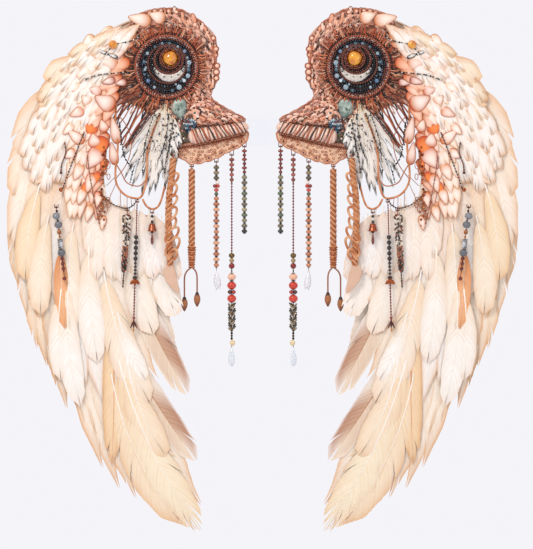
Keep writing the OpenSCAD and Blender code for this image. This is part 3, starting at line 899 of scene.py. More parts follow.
def grey(side, sign):
    """Grey glass beads with a coil of dark wire between them."""
    s = Strand(pivot("grey_strand"), radians(-6.6))
    s.ring("7A4A34")
    s.gap(0.8)
    s.bead(3.5, 1.6, "5A3A30", "metal")
    s.bead(9.5, 5.2, "87888C", "bead", shift=1.5)
    s.bead(2, 1.6, "2E3038", "metal")
    s.bead(9.5, 5.4, "6F7176", "bead")
    s.bead(8, 2.8, "B87850", "metal", CRYSTAL)
    s.bead(6, 1.2, "B87850", "metal")
    t = np.linspace(0, 6.5 * 2 * pi, 110)
    coil = np.stack([3.6 * np.cos(t) * (1 - t / 80), 3.6 * np.sin(t) * 0.8, -14 * t / t[-1]], 1) + s.place()
    tube(s.shape, coil, 0.45, 5, rgb("2A2A30"), BEAD_MATS.index("metal"))
    s.bead(13, 3.4, "C4C5C9", "bead")
    s.bead(10, 5.4, "63656B", "bead")
    for _ in range(3):
        s.bead(5, 2.7, "6A1E1C", "bead")
        s.bead(1.6, 1.1, "3A1A18", "matte")
    s.gap(6)
    s.bead(5.5, 2.8, "7A2420", "bead")
    s.finish("grey_strand", side, sign)


def bell(side, sign):
    """A small copper bell with its clapper."""
    s = Strand(pivot("bell_drop"))
    s.ring()
    s.gap(0.6)
    for code in ("1A1718", "EFE6DA", "1A1718"):
        s.bead(3.6, 2.1, code)
    at = s.place()
    profile = [(0, 0.2), (0.3, 2.2), (1.2, 3.6), (4.5, 4.4), (8.5, 5.2), (10.0, 6.0), (10.6, 5.8),
               (10.2, 4.9), (7.5, 4.2), (3.0, 3.3), (1.6, 0.4)]
    turned(s.shape, at, profile, 18, rgb("B4664A"), BEAD_MATS.index("metal"))
    s.gap(8.5)
    s.bead(4.5, 2.1, "5A2A20", "metal")
    s.bead(15, 2.0, "7A3A2C", "bead", CRYSTAL)
    s.finish("bell_drop", side, sign, "black")


# Thin lines along each strand of a rope: shift round it, reach from the rope's middle, radius, colour. They
# are painted light: the dark line in the groove between strands and the rust line on each strand's flank are
# painted shade, and the pale line on each strand's crown is a painted highlight.
ROPE_SHADE_AND_HIGHLIGHT_LINES = ((0.5, 0.78, 0.42, "8A3F18"), (0.0, 0.98, 0.32, "FFDDB4"), (0.22, 0.94, 0.26, "A85A28"))


def rope_mesh(shape, path, radius, lay):
    """Three strands laid round each other along a path, once round in each lay of millimetres."""
    p = smooth_path(path, 140)
    run = run_along(p)
    way = unit(np.gradient(p, axis=0))
    a = unit(np.cross(way, np.array([0.0, 1.0, 0.0])))
    b = np.cross(way, a)
    for k in range(3):
        angle = 2 * pi * (run / lay + k / 3)
        off = (np.cos(angle)[:, None] * a + np.sin(angle)[:, None] * b) * radius * 0.47
        shade = mix(rgb("D9884E"), rgb("F2BE90"), (0.25 + 0.2 * np.sin(run * 0.9 + k))[:, None])
        tube(shape, p + off, radius * 0.53, 8, shade)
        # each line is painted light: shade in the groove and on the flank, a highlight on the crown
        for shift, reach, r, dye in ROPE_SHADE_AND_HIGHLIGHT_LINES:
            a2 = angle + 2 * pi * shift / 3
            line = p + (np.cos(a2)[:, None] * a + np.sin(a2)[:, None] * b) * radius * reach
            tube(shape, line, r, 5, rgb(dye))
    return p


def rope_eye(shape, top, stem):
    """The eye that a rope hangs by, and the short stem below it."""
    pin_eye(shape, top, 2.0, 0.7)
    tube(shape, [top + (0, 0, z) for z in (-1.6, -4.0, -6.0)], stem, 8, rgb("C27A48"), 0)


def declare_rope(path, points, sign):
    """Points along the rope's route, worked out in the frame and not kept."""
    walk = smooth_path(path, points)
    tuple(to_world(walk[:1], sign)[0])
    [tuple(q) for q in to_world(walk, sign)]


def side_loops(shape, p):
    """The loops of cord that stand off the looped rope's outer side, and the turns laid across its front."""
    for i, (z, long, wide) in enumerate(((-60, 7, 3.6), (-76, 8.5, 4.2), (-90, 9, 4.4), (-106, 10, 4.8),
                                         (-119, 9, 4.6), (-134, 12, 5.4), (-149, 14, 6.2), (-160, 8, 4.6))):
        c = p[int(np.argmin(np.abs(p[:, 2] - z)))]
        a = circle(22)
        tilt = radians(58 + 8 * sin(i * 2.1))
        x, y = -long * np.cos(a), wide * np.sin(a)
        loop = np.stack([c[0] - 4.0 + x * cos(tilt) + y * sin(tilt), c[1] + 2.6 + 1.2 * np.sin(a + i),
                         c[2] - x * sin(tilt) + y * cos(tilt)], 1)
        shade = mix(rgb("C87A44"), rgb("F4C08E"), (0.5 + 0.5 * np.cos(a * 2 + i))[:, None])
        tube(shape, loop, 1.7, 7, shade, 0, closed=True)
    for k in range(16):
        c = p[6 + k * 8]
        slope = np.stack([c[0] + np.linspace(4.4, -4.4, 8), c[1] + 4.2 * np.cos(np.linspace(-1.35, 1.35, 8)),
                          c[2] + np.linspace(-5, 5, 8)], 1)
        tube(shape, slope, 0.95, 6, rgb("E8A268" if k % 2 else "D08A50"), 0)


def looped_rope(side, sign):
    """The looped rope with its leather tag."""
    body = "looped_rope"
    top = pivot(body)
    route = [(116, -35), (118, -58), (121, -80), (122, -102), (122, -125), (121, -149), (120, -173)]
    path = [(u, top[1], z) for u, z in route]
    core, loops, tag_shape = Shape(), Shape(), Shape()
    laid = rope_mesh(core, path, 4.4, 19.0)
    rope = core.build("looped_rope_core", side, sign, [MAT["rope"]], body)
    side_loops(loops, laid)
    rope_eye(loops, top, 1.3)
    loop_piece = loops.build("looped_rope_loops", side, sign, [MAT["rope"]], body)
    tag_outline = smooth_path([(117.5, -171), (124, -172), (128.6, -180), (127, -191), (118, -203),
                               (110.5, -210), (108.6, -205), (110.4, -193), (113.5, -180)], 54, True)
    slab(tag_shape, tag_outline, top[1] - 1.5, top[1] + 1.5, 0.8, rgb("DDBCA2"))
    tag = tag_shape.build("leather_tag_piece", side, sign, [MAT["leather"]], body)
    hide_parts(f"looped_rope_{side}")
    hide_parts(f"leather_tag_{side}")
    declare_rope(path, 24, sign)


def twisted_rope(side, sign):
    """The twisted rope with its bound end, from which two thin cords leave."""
    body, u = "twisted_rope", 92
    top = pivot(body)
    path = [(u, top[1], z) for z in range(-49, -165, -23)]
    core, bind = Shape(), Shape()
    rope_mesh(core, path, 4.4, 20.0)
    rope = core.build("twisted_rope_core", side, sign, [MAT["rope"]], body)
    t = circle(18)
    for i in range(9):
        z, r = -150 - i * 3.2, 5.0 - 0.19 * i
        coil = np.stack([u + r * np.cos(t), top[1] + r * np.sin(t), z + 0.8 * np.sin(t)], 1)
        tube(bind, coil, 0.95, 6, rgb("C06A34" if i % 2 else "DC9058"), 0, closed=True)
    sleeve = [(0, 0.3), (0.5, 4.2), (14, 4.1), (27, 3.2), (28, 0.4)]
    turned(bind, (u, top[1], -149), sleeve, 14, rgb("B0683C"), 0)
    rope_eye(bind, top, 1.5)
    binding = bind.build("twisted_rope_binding", side, sign, [MAT["rope"]], body)
    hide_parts(f"twisted_rope_{side}")
    declare_rope(path, 20, sign)
    pod_tails(side, sign, body, top[1])


def pod_tails(side, sign, body, depth):
    """The two thin cords below the twisted rope, each with a pod on its end."""
    tails = {
        "long": [(93.5, -177), (97.5, -180), (100.5, -185), *((101.5, z) for z in range(-191, -216, -6))],
        "short": [(90.5, -177), (87.5, -180), (85.5, -185), *((85, z) for z in range(-191, -210, -6))]}
    husk = [(0, 0.3), (0.6, 1.9), (3, 2.5), (5.5, 3.8), (10, 4.4), (14, 3.4), (18, 1.4), (19.4, 0.2)]
    codes = ("2A1A16", "2A1A16", "3A2018", "A8683E", "B0703F", "9A5A34", "7A4228", "5A2E1C")
    pods = Shape()
    for route in tails.values():
        u, z = route[-1]
        turned(pods, (u, depth, z + 1), husk, 12, np.array([rgb(c) for c in codes]), 0)
    pod_piece = pods.build("pods", side, sign, [MAT["matte"]], body)
    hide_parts(f"pod_tails_{side}")
    for name, route in tails.items():
        line = smooth_path([(u, depth, z) for u, z in route], 18)
        tail = thread_curve(f"{name}_tail", side, sign, line, TAIL_THICK, THREADS["copper"], body)
        tuple(to_world(line[:1], sign)[0])


for side, sign in SIDES:
    for make in (bronze, coral, rose, striped, garnet, grey, bell, looped_rope, twisted_rope):
        make(side, sign)

# ---------------------------------------------------------------- feathers

WHITE, IVORY, PEACH, TAN = rgb("FFFEFA"), rgb("FFF7E9"), rgb("FCE2C0"), rgb("E6AE72")
BLACK = rgb("1D1A1A")


def shaft_line(root, tip, bow, t):
    """Points and directions of a bent shaft that bows outwards by a share of its length."""
    root, tip = np.asarray(root, float), np.asarray(tip, float)
    chord = tip - root
    bend = (root + tip) / 2 + bow * np.array([-chord[1], chord[0]])
    t = np.asarray(t)[:, None]
    line = (1 - t) ** 2 * root + 2 * t * (1 - t) * bend + t ** 2 * tip
    return line, unit(2 * (1 - t) * (bend - root) + 2 * t * (tip - bend))


OVERHANG = 0.62    # how far the last barbs reach past the shaft's end, as a share of the feather's width
# Where along the shaft the vane starts to narrow, the barbs' lean to fall and the feather to curl forwards
NARROW_FROM, LEAN_FALLS_FROM, CURL_FROM = 0.55, 0.64, 0.72


def feather(vanes, shafts, root, tip, width, bow, depth, paint, rnd, barbs=44, steps=4, curl=1.5, camber=0.5,
            splits=3, fray=0.03, slant=42.0, shaft_r=0.8, shaft_code="FFF4E2",
            quill=0.22, blunt=0.0):
    """One feather: vanes of barbs that sweep towards the tip, parted by splits, and a tapered shaft.
    paint(t, f, side) gives the colour at t along the shaft and f from shaft to edge."""
    size = float(np.linalg.norm(np.subtract(tip, root)))
    reach = 1 - OVERHANG * (1 - 0.9 * blunt) * width / size
    t = np.linspace(0.06, 1.0, barbs)
    line, way = shaft_line(root, tip, bow, t * reach)
    grow = np.minimum(1, (t / quill)) ** 0.6
    fade = np.sqrt(np.maximum(0, 1 - (np.maximum(0, t - NARROW_FROM) / 0.62) ** 2))
    half = width / 2 * (0.25 + 0.75 * grow) * fade
    fall = np.clip((t - LEAN_FALLS_FROM) / (1 - LEAN_FALLS_FROM), 0, 1)
    lean = np.radians(slant * (1 - 0.9 * fall ** 1.3))
    f = np.linspace(0, 1, steps + 1)
    phase = rnd.uniform(0, 6.28)
    for side in (-1, 1):
        cuts = np.sort(rnd.choice(np.arange(4, barbs - 3), size=splits, replace=False)) if splits else []
        marks = [0, *[int(c) for c in cuts], barbs - 1]
        noise = 1 + fray * rnd.normal(size=barbs)
        for a, b in zip(marks[:-1], marks[1:]):
            if b <= a:
                continue
            i = np.arange(a, b + 1)
            clump = 1 + 0.02 * rnd.normal()
            length = half[i] / np.sin(np.maximum(lean[i], 0.5)) * noise[i] * clump
            length = length * (1 - blunt * np.clip((t[i] - 0.6) / 0.4, 0, 1))
            across = np.stack([-way[i, 1], way[i, 0]], 1) * side
            bend = lean[i][:, None] * (1 - 0.3 * f[None])
            open_from = rnd.uniform(0.15, 0.5)
            part = np.clip((f - open_from) / (1 - open_from), 0, 1)[None] * rnd.uniform(0.02, 0.09)
            near_end = np.exp(-(b - i) / 2.5)[:, None] * (b != barbs - 1)
            near_start = np.exp(-(i - a) / 2.5)[:, None] * (a != 0)
            bend = bend + part * (near_end - near_start)
            step = length[:, None] * f[None]
            uz = line[i][:, None] + step[..., None] * (np.cos(bend)[..., None] * way[i][:, None]
                                                       + np.sin(bend)[..., None] * across[:, None])
            lift = depth + camber * (1 - f[None] ** 2)
            lift = lift + curl * (np.maximum(0, t[i] - CURL_FROM) / (1 - CURL_FROM))[:, None] ** 2
            lift = lift + 0.12 * np.sin(phase + 9 * t[i])[:, None] * f[None]
            co = np.stack([uz[..., 0], lift * np.ones_like(uz[..., 0]), uz[..., 1]], -1)
            quads = grid_quads(len(i), steps + 1)
            if side > 0:
                quads = quads[:, ::-1]
            tt, ff = np.broadcast_arrays(t[i][:, None], f[None])
            uv = np.stack([tt * size / 100 + ff * 0.002, 0.5 + 0.5 * side * ff], -1)
            vanes.add(co.reshape(-1, 3), quads, col=paint(tt.ravel(), ff.ravel(), side), uv=uv.reshape(-1, 2))
    ts = np.linspace(-0.02, 0.985, 12)
    line, _ = shaft_line(root, tip, bow, ts * reach)
    curled = depth + camber + 0.15 + curl * (np.maximum(0, ts - CURL_FROM) / (1 - CURL_FROM)) ** 2
    tube(shafts, at_depth(line, curled), shaft_r * (1.05 - ts), 6, rgb(shaft_code), 0, flat=0.7)


def plain_paint(base, edge, edge_share, tip_share, root_shade=PEACH, root_shade_share=0.5):
    """Colour that deepens at the vane's edge, at its tip and towards the quill. The deeper tint towards the
    quill is painted shade where the feather above covers the root, and the edge tint is partly the feather's
    own tan edge and partly painted shade that outlines it.
    """
    def paint(t, f, side):
        # the feather's own tan edge, deepened further as painted shade that outlines the feather
        e = (edge_share * f ** 3)[:, None]
        k = (tip_share * np.clip((t - 0.8) / 0.2, 0, 1) ** 1.5 * (0.4 + 0.6 * f))[:, None]
        # painted shade towards the quill, where the feather above lies over the root
        r = (root_shade_share * np.clip(1 - t / 0.55, 0, 1))[:, None]
        c = mix(base, root_shade, r)
        return mix(mix(c, edge, e), edge, k)
    return paint


def banded_paint(t, f, side):
    """Brown beside the shaft on the inner vane, fading to pale grey-white edges."""
    band = np.clip(1.4 - np.abs(t - 0.66) / 0.26, 0, 1) * np.clip((0.97 - f) / 0.2, 0, 1)
    band = band * (1.0 if side < 0 else 0.35) * (0.75 + 0.25 * f)
    streak = 0.92 + 0.08 * np.sin(t * 120 + 4 * f)
    base = mix(rgb("FCEBD2"), rgb("EDE4DE"), (f * (0.9 if side < 0 else 0.2))[:, None])
    return mix(base, rgb("AE6A3A"), (np.clip(band * streak, 0, 1) * 0.92)[:, None])


def fan_paint(strength):
    """White feather with ragged black edges and tip."""
    def paint(t, f, side):
        ragged = f - 0.66 + 0.24 * np.sin(t * 26 + 2 * side)
        edge = np.clip(ragged * 4.5, 0, 1) * np.clip(2.2 * t - 0.3, 0, 1)
        tip = np.clip((t - 0.9) / 0.06, 0, 1)
        return mix(mix(WHITE, rgb("EADCC4"), 0.35 * (1 - t)[:, None] + 0.12 * (f ** 2)[:, None]), BLACK,
                   (strength * np.clip(edge * 0.9 + tip, 0, 1))[:, None])
    return paint


# Lines of roots and of tips, in (u, z). Long and white feathers spread from one to the other
PRIMARY_ROOTS = [(306, -8), (276, -36), (240, -64), (206, -92), (176, -118)]
PRIMARY_TIPS = [(318, -198), (306, -240), (293, -281), (280, -304), (267, -329), (254, -360), (231, -378),
                (216, -394), (208, -436), (186, -463), (164, -476), (135, -493), (105, -508), (87, -519),
                (79, -484)]
SECONDARY_ROOTS = [(284, 60), (278, 10), (250, -30), (222, -60), (198, -98), (168, -108)]
SECONDARY_TIPS = [(315, -30), (324, -84), (323, -150), (305, -176), (286, -214), (262, -232), (244, -262),
                  (228, -330), (208, -352), (188, -330), (170, -296), (152, -262), (138, -222), (134, -168)]
INNER_ROOTS = [(188, -150), (160, -104)]
INNER_TIPS = [(88, -425), (99, -338), (108, -312), (116, -284), (112, -226), (124, -166)]
COVERT_INNER = [(160, 140), (192, 112), (207, 74), (218, 30), (232, -16)]
COVERT_OUTER = [(190, 138), (232, 114), (258, 78), (280, 30), (292, -6)]

# How far in front of the felt's back each layer of feathers starts
BANDED_DEPTH, INNER_DEPTH, LONG_DEPTH, WHITE_DEPTH = 14.0, 5.2, 7.9, 12.8
LOW_ROW_DEPTH, SHORT_DEPTH, FAN_DEPTH = 16.4, 16.0, 13.6

GREAT_FEATHERS = [
    # root, tip, width, bow, depth, tone, edge share (the tan edge with its painted shade), splits, shaft
    # colour
    ((196, -232), (196, -432), 40, -0.03, 14.2, "F9DDB6", 0.8, 1, "D9853E"),
    ((252, -196), (236, -356), 44, 0.10, 16.2, "FFFDF6", 0.15, 0, "FFF8EC"),
    ((262, -206), (262, -322), 34, 0.06, 16.0, "FFFBF2", 0.3, 0, "FFF8EC"),
    ((206, -182), (146, -352), 58, 0.10, 15.6, "FDF1DE", 0.35, 1, "FFFEFA"),
    ((188, -236), (152, -322), 34, 0.08, 16.0, "FFFDF6", 0.2, 0, "FFFEFA"),
    ((176, -296), (126, -420), 52, 0.12, 15.4, "FCEBD0", 0.4, 1, "FFFEFA"),
    ((186, -300), (80, -517), 66, 0.10, 15.0, "FDF0D4", 0.4, 9, "FFFEFA"),
    ((196, -318), (104, -509), 58, 0.14, 14.4, "FBE9CC", 0.6, 4, "FFF9EE"),
    ((226, -150), (214, -300), 46, 0.05, 16.0, "FFFCF4", 0.25, 0, "FFF8EC"),
    ((246, -120), (250, -262), 46, 0.06, 15.8, "FEF6E6", 0.35, 0, "FFF8EC"),
    ((278, -110), (288, -236), 42, 0.08, 15.6, "FDF0DA", 0.5, 0, "FFF8EC"),
    ((176, -132), (142, -262), 48, 0.07, 16.0, "FEF7EA", 0.25, 0, "FFFEFA"),
    ((160, -120), (112, -238), 50, 0.02, 14.6, "FFFAF0", 0.2, 1, "FFFEFA"),
    ((290, -70), (308, -192), 40, 0.08, 15.4, "FBE8C8", 0.6, 0, "FFF8EC")]


def long_feathers():
    """The long lower feathers and the banded inner ones, as vanes and shafts."""
    vanes, shafts = Shape(), Shape()
    rnd = np.random.default_rng(11)
    inner_last = len(INNER_TIPS) - 1
    for i, tip in enumerate(INNER_TIPS):
        s = i / inner_last
        root = [(178, -286), (170, -196)][i] if i < 2 else along(INNER_ROOTS, s)
        paint = banded_paint if i < 2 else plain_paint(mix(WHITE, IVORY, rnd.uniform()), TAN, 0.3, 0.3)
        feather(vanes, shafts, root, tip, 46, 0.08 if i > 1 else 0.03,
                BANDED_DEPTH - 0.6 * i if i < 2 else INNER_DEPTH + 0.45 * i, paint, rnd, barbs=90, splits=1,
                fray=0.01, curl=1.0, camber=0.3, shaft_code="B98050" if i < 2 else "FFF1DC",
                blunt=0.2 if i < 2 else 0.4)
    last = len(PRIMARY_TIPS) - 1
    for i, tip in enumerate(PRIMARY_TIPS):
        s = i / last
        base = mix(IVORY, PEACH, rnd.uniform(0.1, 0.6))
        # F6D6AC is the painted shade towards the quill
        paint = plain_paint(base, TAN, rnd.uniform(0.6, 0.95), rnd.uniform(0.4, 0.8), rgb("F6D6AC"), 0.6)
        feather(vanes, shafts, along(PRIMARY_ROOTS, s), tip, mix(36, 56, s), mix(0.05, 0.18, s),
                LONG_DEPTH + 0.34 * i, paint, rnd, barbs=96, splits=2, fray=0.01, curl=1.2, camber=0.5,
                blunt=0.5, shaft_code="FFF6E6", shaft_r=0.9)
    return vanes, shafts


def white_feathers():
    """The second layer of feathers over the long ones, and the broad ones that lie on top."""
    vanes, shafts = Shape(), Shape()
    rnd = np.random.default_rng(23)
    last = len(SECONDARY_TIPS) - 1
    for i, tip in enumerate(SECONDARY_TIPS):
        s = i / last
        base = mix(WHITE, PEACH, rnd.uniform(0.0, 0.7))
        # F4C698 is the painted shade towards the quill
        paint = plain_paint(base, TAN, rnd.uniform(0.5, 0.85), rnd.uniform(0.1, 0.4), rgb("F4C698"), 0.9)
        feather(vanes, shafts, along(SECONDARY_ROOTS, s), tip, 42, 0.08, WHITE_DEPTH + 0.12 * i, paint, rnd,
                barbs=80, splits=1, fray=0.008, curl=1.0, camber=0.5, shaft_r=0.7, blunt=0.55)
    for root, tip, width, bow, depth, tone, edge, splits, shaft_code in GREAT_FEATHERS:
        # F6D8B0 is the painted shade towards the quill, and the edge share sets the tan edge with its painted
        # shade
        paint = plain_paint(rgb(tone), TAN, edge, 0.5 * edge, rgb("F6D8B0"), 0.7)
        feather(vanes, shafts, root, tip, width, bow, depth, paint, rnd, barbs=110, splits=splits, steps=6,
                fray=0.012, curl=1.0, camber=0.8, shaft_r=1.0, shaft_code=shaft_code, blunt=0.45, quill=0.3)
    # E88F52 is the painted shade towards the quill
    orange = plain_paint(rgb("F2B888"), rgb("E89A60"), 0.5, 0.4, rgb("E88F52"), 0.8)
    feather(vanes, shafts, (262, -150), (256, -256), 26, 0.04, 16.6, orange, rnd, barbs=50, splits=0,
            fray=0.01, camber=0.4, shaft_r=0.5, blunt=0.4)
    roots = [(214, -36), (206, -70), (192, -84), (174, -92), (156, -98), (140, -104), (132, -112)]
    for i in range(12):
        s = i / 11
        root = along(roots, s) + rnd.normal(size=2) * 1.5
        turn = radians(mix(-84, -104, s) + rnd.normal() * 3)
        size = mix(120, 80, s) * rnd.uniform(0.9, 1.1)
        # F6D8BC is the painted shade towards the quill
        paint = plain_paint(mix(WHITE, PEACH, rnd.uniform(0, 0.5)), TAN, 0.4, 0.1, rgb("F6D8BC"), 0.6)
        feather(vanes, shafts, root, root + size * toward(turn), 32, 0.04,
                LOW_ROW_DEPTH + 0.08 * i, paint, rnd, barbs=50, splits=0, fray=0.01, curl=0.8, camber=0.5,
                shaft_r=0.5, quill=0.06, blunt=0.45)
    return vanes, shafts


def short_feathers():
    """The rounded shoulder feathers, in shingled rows."""
    vanes, shafts = Shape(), Shape()
    rnd = np.random.default_rng(31)
    rows, columns = 15, 5
    for i in reversed(range(rows)):
        t = i / (rows - 1)
        heading = radians(mix(-36, -74, t))
        for k in range(columns):
            root = mix(along(COVERT_INNER, t), along(COVERT_OUTER, t), k / (columns - 1))
            root = root + rnd.normal(size=2) * 2.0
            turn = heading + rnd.normal() * 0.12
            size = 54 * mix(0.8, 1.15, t) * (0.8 if k == columns - 1 else 1) * rnd.uniform(0.84, 1.14)
            tip = root + size * toward(turn)
            base = mix(mix(WHITE, PEACH, rnd.uniform(0.0, 0.2)), rgb("F6E0B8"),
                       0.6 * (k == columns - 1) * (t < 0.7))
            # tan edge colour, partly the feathers' own edge and partly painted shade that outlines each one;
            # E6B084 below is the painted shade towards the quill, where the row above lies over the roots
            tan = rgb("D6A06C") if rnd.uniform() < 0.5 else TAN
            paint = plain_paint(base, tan, rnd.uniform(0.6, 1.0), rnd.uniform(0.1, 0.6), rgb("E6B084"), 1.0)
            feather(vanes, shafts, root, tip, rnd.uniform(20, 28), rnd.uniform(-0.02, 0.16),
                    SHORT_DEPTH + 0.24 * (rows - i) + 0.08 * k, paint, rnd, barbs=40, steps=5,
                    splits=int(rnd.integers(0, 2)), fray=0.008, curl=1.4, camber=1.3, shaft_r=0.4, blunt=0.25)
    return vanes, shafts


def fan():
    """The small black-edged feathers below the rosette."""
    vanes, shafts = Shape(), Shape()
    rnd = np.random.default_rng(5)
    tips = [(184, -34), (180, -62), (174, -50), (170, -72), (158, -82), (150, -70), (148, -83), (140, -78),
            (136, -62), (131, -44), (127, -76), (122, -58), (117, -70), (112, -42), (108, -20), (118, -30)]
    for i, tip in enumerate(tips):
        root = (127 + 2.2 * sin(i * 2.1) - max(0, i - 9) * 1.6, 34 - max(0, i - 9) * 2.5)
        feather(vanes, shafts, root, tip, rnd.uniform(11, 14), 0.03 * (4 - min(i, 8)) / 4,
                FAN_DEPTH + 0.22 * i, fan_paint(rnd.uniform(0.75, 1.0)), rnd, barbs=40, steps=5, splits=3,
                fray=0.06, curl=0.6, camber=0.3, slant=30, shaft_r=0.5, shaft_code="E8D8B8")
    return vanes, shafts


for name, make in (("primary_feathers", long_feathers), ("secondary_feathers", white_feathers),
                   ("covert_feathers", short_feathers), ("fan_feathers", fan)):
    vanes, shafts = make()
    for side, sign in SIDES:
        vane_piece = vanes.build(name + "_vanes", side, sign, [MAT["feather"]])
        shaft_piece = shafts.build(name + "_shafts", side, sign, [MAT["shaft"]])
        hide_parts(f"{name}_{side}")

# ---------------------------------------------------------------- crown, neck and beak

ROSETTE, ROSETTE_R = np.array([125.0, 85.0]), 45.0
INNER_RINGS = np.array([122.0, 94.0])
AMBER = np.array([120.0, 96.0])
CROCHET_OUTLINE = [(140, 160), (119, 161), (105, 159), (84, 147), (66, 129), (58, 106), (60, 92), (57, 75),
                   (62, 60), (67, 47), (57, 37), (38, 26), (22, 15), (60, 10), (96, 5), (104, -12),
                   (122, -20), (130, -4), (150, 26), (178, 38), (196, 30), (204, 50), (200, 92), (182, 128),
                   (162, 152)]
BACK_OUTLINE = [(119, 158), (84, 145), (62, 126), (60, 104), (62, 90), (60, 76), (68, 48), (40, 24), (28, 13),
                (28, -12), (60, -30), (95, -33), (112, -20), (124, 0), (150, 32), (180, 46), (200, 34),
                (202, -20), (206, -60), (198, -92), (164, -106), (140, -114), (134, -160), (138, -220),
                (152, -290), (178, -330), (214, -318), (256, -270), (290, -200), (308, -120), (304, -40),
                (290, 16), (266, 66), (236, 106), (200, 132), (160, 150)]
RUST, DARK, COPPER = rgb("C4683C"), rgb("4A2016"), rgb("C07448")
PINK, ROSE_PALE, CREAM = rgb("E4AE96"), rgb("F2CAB4"), rgb("FBE6D4")
THREAD_DYES = [rgb(c) for c in ("C45A2C", "A84420", "DA7E50", "5A2414", "E89E78", "B85428", "2A120C",
                                "F0BC9A", "E08E62", "C86838")]


def draw(shape, points, depth, radius, col, sides=5, mat=0, closed=False):
    """A thread through (u, z) points at one depth, or at a depth for each."""
    tube(shape, at_depth(points, depth), radius, sides, col, mat, closed=closed)


def edge_distance(points, outline):
    """Distance from each (u, z) point to a closed outline."""
    p, o = np.asarray(points, float), np.asarray(outline, float)
    best = np.full(len(p), 1e9)
    for a, b in zip(o, np.roll(o, -1, 0)):
        run = b - a
        t = np.clip(((p - a) @ run) / (run @ run), 0, 1)
        best = np.minimum(best, np.linalg.norm(p - (a + t[:, None] * run), axis=1))
    return best


def scatter(outline, gap, rnd, margin=0.0):
    """Points about gap apart inside an outline, each a little off its place in a staggered grid."""
    o = np.asarray(outline, float)
    low, high = o.min(0), o.max(0)
    zs = np.arange(low[1], high[1], gap * 0.87)
    points = np.array([(u + (gap / 2 if i % 2 else 0), z) for i, z in enumerate(zs)
                       for u in np.arange(low[0], high[0], gap)])
    points = points + rnd.normal(size=points.shape) * gap * 0.22
    keep = inside(points, o)
    if margin:
        keep &= edge_distance(points, o) > margin
    return points[keep]


def flow(p):
    """Which way the crochet's rows run: round the rosette, then down the neck and out along the beak."""
    off = p - ROSETTE
    dist = np.linalg.norm(off)
    around = np.array([-off[1], off[0]]) / max(dist, 1e-6)
    if p[0] > 140:
        neck = np.array([0.85, -0.5])
    elif p[1] > 45:
        neck = np.array([-0.35, -0.94])
    else:
        neck = np.array([-0.8, -0.35]) if p[0] < 88 else np.array([0.2, -0.98])
    share = min(1, max(0, (dist - 50) / 22))
    if around @ neck < 0:
        around = -around
    return unit(mix(around, neck, share))


def crochet():
    """The crochet over the crown, neck and beak: a knitted ground with rows, pads and knots on it."""
    ground, threads = Shape(), Shape()
    rnd = np.random.default_rng(3)
    outline = smooth_path(CROCHET_OUTLINE, 150, True)
    slab(ground, outline, 4.8, 9.0, 1.0, rgb("DC9C7C"))
    edge_rows(threads, outline)
    flowing_rows(threads, outline, rnd)
    shell_pads(threads, outline, rnd)
    knots_and_pearls(threads, outline, rnd)
    return ground, threads


def edge_rows(threads, outline):
    """Three thick rows of stitches along the crochet's edge."""
    wobble = 1.0 + 0.8 * np.sin(np.arange(150) * 1.9)
    inward = inward_steps(outline)
    for k, (r, code) in enumerate(((1.7, RUST), (1.1, DARK), (1.5, rgb("C98062")))):
        row = outline + inward * (1.6 * k + 0.5 + 0.5 * wobble[:, None])
        shade = mix(code, CREAM, (0.25 + 0.25 * np.sin(np.arange(150) * 0.9 + k))[:, None])
        draw(threads, row, 8.6 + 0.7 * k + 0.6 * np.sin(np.arange(150) * 1.3), r, shade, 6, closed=True)


def clear_of_rosette(points, radius):
    """The points further than a radius from the rosette's middle."""
    return points[np.linalg.norm(points - ROSETTE, axis=1) > radius]


def flowing_rows(threads, outline, rnd):
    """Threads that follow the way the crochet was worked, each swaying as it goes."""
    field = clear_of_rosette(scatter(outline, 4.0, rnd, 1.5), 44)
    for i, start in enumerate(field):
        p, path = start.copy(), [start.copy()]
        phase, sway = rnd.uniform(0, 6.28), rnd.uniform(0.25, 0.9)
        turn = rnd.normal() * 0.35
        for k in range(int(rnd.integers(9, 20))):
            way = flow(p)
            a = turn + sway * sin(phase + k * 0.9)
            way = np.array([way[0] * cos(a) - way[1] * sin(a), way[0] * sin(a) + way[1] * cos(a)])
            p = p + way * 1.9
            if np.linalg.norm(p - ROSETTE) < 43:
                break
            path.append(p.copy())
        path = np.array(path)
        keep = inside(path, outline)
        path = path[:int(np.argmin(keep))] if not keep.all() else path
        if len(path) < 4:
            continue
        dye = pick(rnd, THREAD_DYES)
        lift = 9.2 + 0.9 * (i % 4) + 0.7 * np.sin(np.linspace(0, rnd.uniform(3, 9), len(path)) + phase)
        draw(threads, path, lift, rnd.uniform(0.4, 0.95), mix(dye, CREAM, rnd.uniform(0.05, 0.5)), 5)


def shell_pads(threads, outline, rnd):
    """Small padded ovals in pale peach, each with a stitched rim."""
    for p in clear_of_rosette(scatter(outline, 7.0, rnd, 3.0), 50):
        a = atan2(*flow(p)[::-1]) + rnd.normal() * 0.3
        size = np.array([rnd.uniform(4.0, 8.0), 0, rnd.uniform(1.8, 3.2)])
        turn = np.array([[cos(a), 0, -sin(a)], [0, 1, 0], [sin(a), 0, cos(a)]])
        shade = pick(rnd, [PINK, ROSE_PALE, rgb("F0B898"), rgb("E09A78")])
        threads.copies(ROUND, [(p[0], 10.5, p[1])], np.array([[size[0], 2.0, size[2]]]), [turn], shade, 1)
        draw(threads, oval(*p, size[0] + 0.5, size[2] + 0.5, 16, a), 11.2, 0.42,
             DARK if rnd.uniform() < 0.6 else RUST, 5, closed=True)


